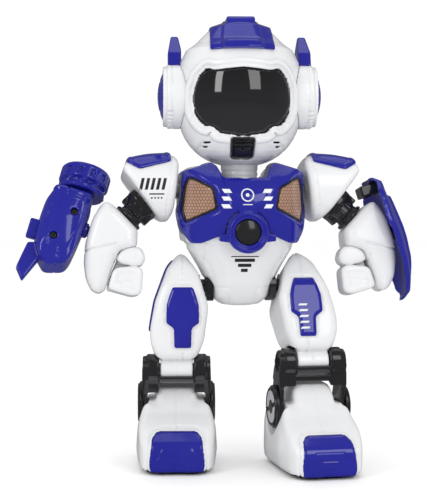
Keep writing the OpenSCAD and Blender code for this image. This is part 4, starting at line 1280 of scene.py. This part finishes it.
def frontPanel(x, y, z):
    skin, edge = thighForm(x, y, z), outline(panelEdge, x, z)
    lift = leg["panelLift"] - np.interp(edge, [-2.2, 0], [0, 0.9])
    # top quarter falls away in a flat bevel
    lift = lift - np.interp(z, [-10, -3], [0, 0.9])
    return allOf(skin - lift, edge, -skin + 0.02, y + 6, blend=0.7)


def outerPanel(x, y, z):
    skin, edge = thighForm(x, y, z), outline(crescentEdge, y, z)
    lift = leg["panelLift"] - 0.4 - np.interp(edge, [-2.0, 0], [0, 0.7])
    return allOf(skin - lift, edge, -skin + 0.02, -3 - x, blend=0.7)


def shinFrame(x, y, z):
    along = np.abs(x)
    ankle = z + leg["shinLength"]
    knee = either(rod(along, y, z, 13, 22.4, leg["kneeRadius"], 1.6),
                  rod(along, y, z, 13, 25.4, 9, 1.4), 0.6)
    # a dished end where the pin head sits
    plate = outline([(-9, 0), (9, 0), (13, -35), (-13, -35)], y, z)
    plate = both(plate, np.maximum(21.9 - along, along - 25.4), 1.4)
    waist = outline([(-8.5, -6.5), (8.5, -6.5), (11, -16), (-11, -16)], y, z)
    waist = both(waist, np.maximum(13 - along, along - 25.4), 1.2)
    shape = either(knee, plate, 1.2)
    shape = either(shape, rod(along, y, ankle, 21.9, 25.4, 13, 0.8), 0.8)
    shape = either(shape, waist, 2.0)
    tie = box(along, y, z, (-1, -8, -13.4), (13.6, 8, -9.2), 0.8)
    saddle = without(rod(x, y, z, -13.4, 13.4, 11.9, 0.9), rod(x, y, z, -15, 15, 9.2, 0.4), 0.4)
    saddle = both(saddle, np.maximum(z, np.minimum(y, z + 9.2)), 0.6)
    shape = either(shape, either(tie, saddle, 0.8), 0.8)
    shape = without(shape, rod(along, y, ankle, -1, 21.8, 21.8, 0.5), 0.8)
    shape = without(shape, rod(along, y, z, -1, 23, 3.55, 0.2), 0.2)
    shape = without(shape, rod(along, y, z, 22.5, 30, 7.1, 0.3), 0.4)
    return without(shape, rod(along, y, ankle, 18, 30, 3.55, 0.2), 0.2)


def ankleDiscs(x, y, z):
    along, up = np.abs(x), z + leg["shinLength"]
    radial = np.sqrt(y * y + up * up)
    shape = either(rod(along, y, up, 25.4, 28, leg["discRadius"], 0.8),
                   rod(along, y, up, 27, 29.4, leg["discRadius"] - 1.6, 0.9), 0.5)
    well = allOf(radial - 12.4, 5 - radial, 28.6 - along, blend=0.3)
    shape = without(shape, well, 0.4)
    shape = either(shape, rod(along, y, up, 18, 26, 3.5, 0.3), 0.2)
    return shape


def ankleInlay(x, y, z):
    # grey infill: a ring broken by a slanted black bar
    along, up = np.abs(x), z + leg["shinLength"]
    radial = np.sqrt(y * y + up * up)
    ringPart = allOf(radial - 12.2, 5.2 - radial, along - 29.1, 28.62 - along, blend=0.3)
    slant = np.abs(0.5 * y + 0.87 * up) - 1.6
    return without(ringPart, slant, 0.4)


footPlan = softened([(-22, -60), (22, -60), (27, -50), (31.5, -25), (31.5, 10), (27, 30), (18, 35),
                     (-18, 35), (-27, 30), (-31.5, 10), (-31.5, -25), (-27, -50)], 5.0)
footFront = softened(mirrored([(9, 64.5), (13.5, 62.5), (15.3, 57), (15.6, 49.4), (22, 48.9),
                               (24.5, 46.5), (29.8, 30), (31.5, 14), (29, 4), (27, 1.2)]), 2.2)
footSide = softened([(-60, 1.2), (-57, 21), (-44, 31), (-27, 41.5), (-14.5, 58.5), (-7, 64.5),
                     (7, 64.5), (14.5, 58.5), (26, 46), (33, 30), (35, 16), (34, 1.2)], 4.0)
toeEdge = softened(mirrored([(14.5, 30.5), (18.5, 26.5), (20.6, 8), (19.4, 1.6)]), 2.0)


def footForm(x, y, z):
    return allOf(outline(footPlan, x, y), outline(footFront, x, z), outline(footSide, y, z), blend=4.5)


def footShell(x, y, z):
    skin = footForm(x, y, z)
    ankle = z - leg["ankleHeight"]
    along = np.abs(x)
    room = rod(along, y, ankle, 21.4, 40, 20.6, 0.4)
    inner = rod(along, y, ankle, 19.2, 42, 22.8, 0.4)
    skin = without(skin, room, 1.2)
    # dished hollows beside the tongue, a seam, and a groove round the toe cap
    hollow = np.sqrt((along - 15.5) ** 2 + (y + 27.5) ** 2 + (z - 52.2) ** 2) - 7.2
    skin = without(skin, hollow, 2.4)
    seam = np.maximum(np.maximum(along - 0.4, -skin - 0.8), 30 - z)
    groove = np.maximum(np.abs(outline(toeEdge, x, z) - 1.5) - 0.6, np.maximum(y + 30, -skin - 0.7))
    shell = without(without(skin, seam, 0.6), groove, 0.6)
    cavity = without(footForm(x, y, z) + leg["wall"], inner, 0.4)
    shell = without(shell, cavity, 0.5)
    shell = without(shell, box(x, y, z, (-25, -54, 0), (25, 30, 3.4), 0.3), 0.3)
    shell = without(shell, rod(x, y, ankle, -30, 30, 3.6, 0.2), 0.2)
    return both(shell, 1.2 - z, 0.6)


def toeCap(x, y, z):
    skin, edge = footForm(x, y, z), outline(toeEdge, x, z)
    # bevelled rim, then a flatter face with a step and a small square recess
    lift = leg["capLift"] - np.interp(edge, [-1.6, 0], [0, 0.8])
    face = outline([(-10.5, 19.5), (10.5, 19.5), (15, 10), (15.5, -4), (-15.5, -4), (-15, 10)], x, z)
    lift = lift - 0.5 * np.interp(face, [-0.6, 0.6], [0, 1])
    square = np.maximum(np.abs(x) - 5.2, z - 8.2)
    lift = lift - 0.4 * np.interp(square, [-0.5, 0.0], [1, 0])
    line = np.maximum(np.abs(z - 13.6) - 0.35, np.abs(x) - 6)
    lift = lift - 0.4 * np.interp(line, [-0.2, 0.2], [1, 0])
    return allOf(skin - lift, edge, -skin + 0.02, y + 34, 1.7 - z, blend=0.6)


def footBase(name):
    at = jointPos(name)
    return Vector((at.x, at.y, 0))


for side in (1, -1):
    which = names[side]
    hip, knee, ankle = (jointPos(part + "_" + which) for part in ("hip", "knee", "ankle"))
    thighAt = legPlace(hip, hip - knee, side)
    shinAt = legPlace(knee, knee - ankle, side)
    footAt = legPlace(footBase("ankle_" + which), Vector((0, 0, 1)), side)
    mould("thigh_skin_" + which, thighShell, (-25.5, -25, -72), (22, 24, 28), 1.05, thighAt,
          "whiteGloss", "thigh_" + which, ("thigh_shell_" + which,))
    mould("front_panel_" + which, frontPanel, (-20, -27, -51), (11, -3, 0), 0.8, thighAt,
          "blueGloss", "thigh_" + which, ("thigh_panels_" + which,))
    mould("outer_panel_" + which, outerPanel, (-5, -16, -39), (24, 17, 24), 0.8, thighAt,
          "blueGloss", "thigh_" + which)
    mould("shin_bracket_" + which, shinFrame, (-27, -15, -50), (27, 15, 12), 0.85, shinAt,
          "blackGloss", "shin_" + which, ("shin_" + which,))
    mould("ankle_disc_" + which, ankleDiscs, (-31, -18, -53), (31, 18, -17), 0.8, shinAt,
          "blackGloss", "shin_" + which, ("ankle_discs_" + which,))
    mould("ankle_inlay_" + which, ankleInlay, (-30, -14, -49), (30, 14, -21), 0.5, shinAt,
          "paleInlay", "shin_" + which)
    mould("foot_skin_" + which, footShell, (-33, -62, -1), (33, 37, 67), 1.05, footAt,
          "whiteGloss", "foot_" + which, ("foot_shell_" + which,))
    mould("toe_cover_" + which, toeCap, (-23, -64, -0.5), (23, -31, 33), 0.75, footAt,
          "blueGloss", "foot_" + which, ("toe_cap_" + which,))

# generic light stripes on the left thigh panel
stripes = [bar(-7.6 + 1.1 * k * 0.2, -25.5 - 4.3 * k, 6.4, 1.5, 0.5) for k in range(5)]
inked("panel_stripes", stripes, frontPanel, legPlace(jointPos("hip_left"),
      jointPos("hip_left") - jointPos("knee_left"), 1), "whiteInk", "thigh_left", start=-40)
print("legs made")


finishOf = {slot: name for name, slot in reversed(slotOf.items())}
for entry in frame["record"]["subparts"]:
    node = frame["nodes"][entry["node"]]
    finish = finishes[finishOf[entry["material_slot"]]]
    node.data.materials.clear()
    node.data.materials.append(finish)
print("carried-over nodes finished")

makeCamera()
makeLights()
makeFloor()
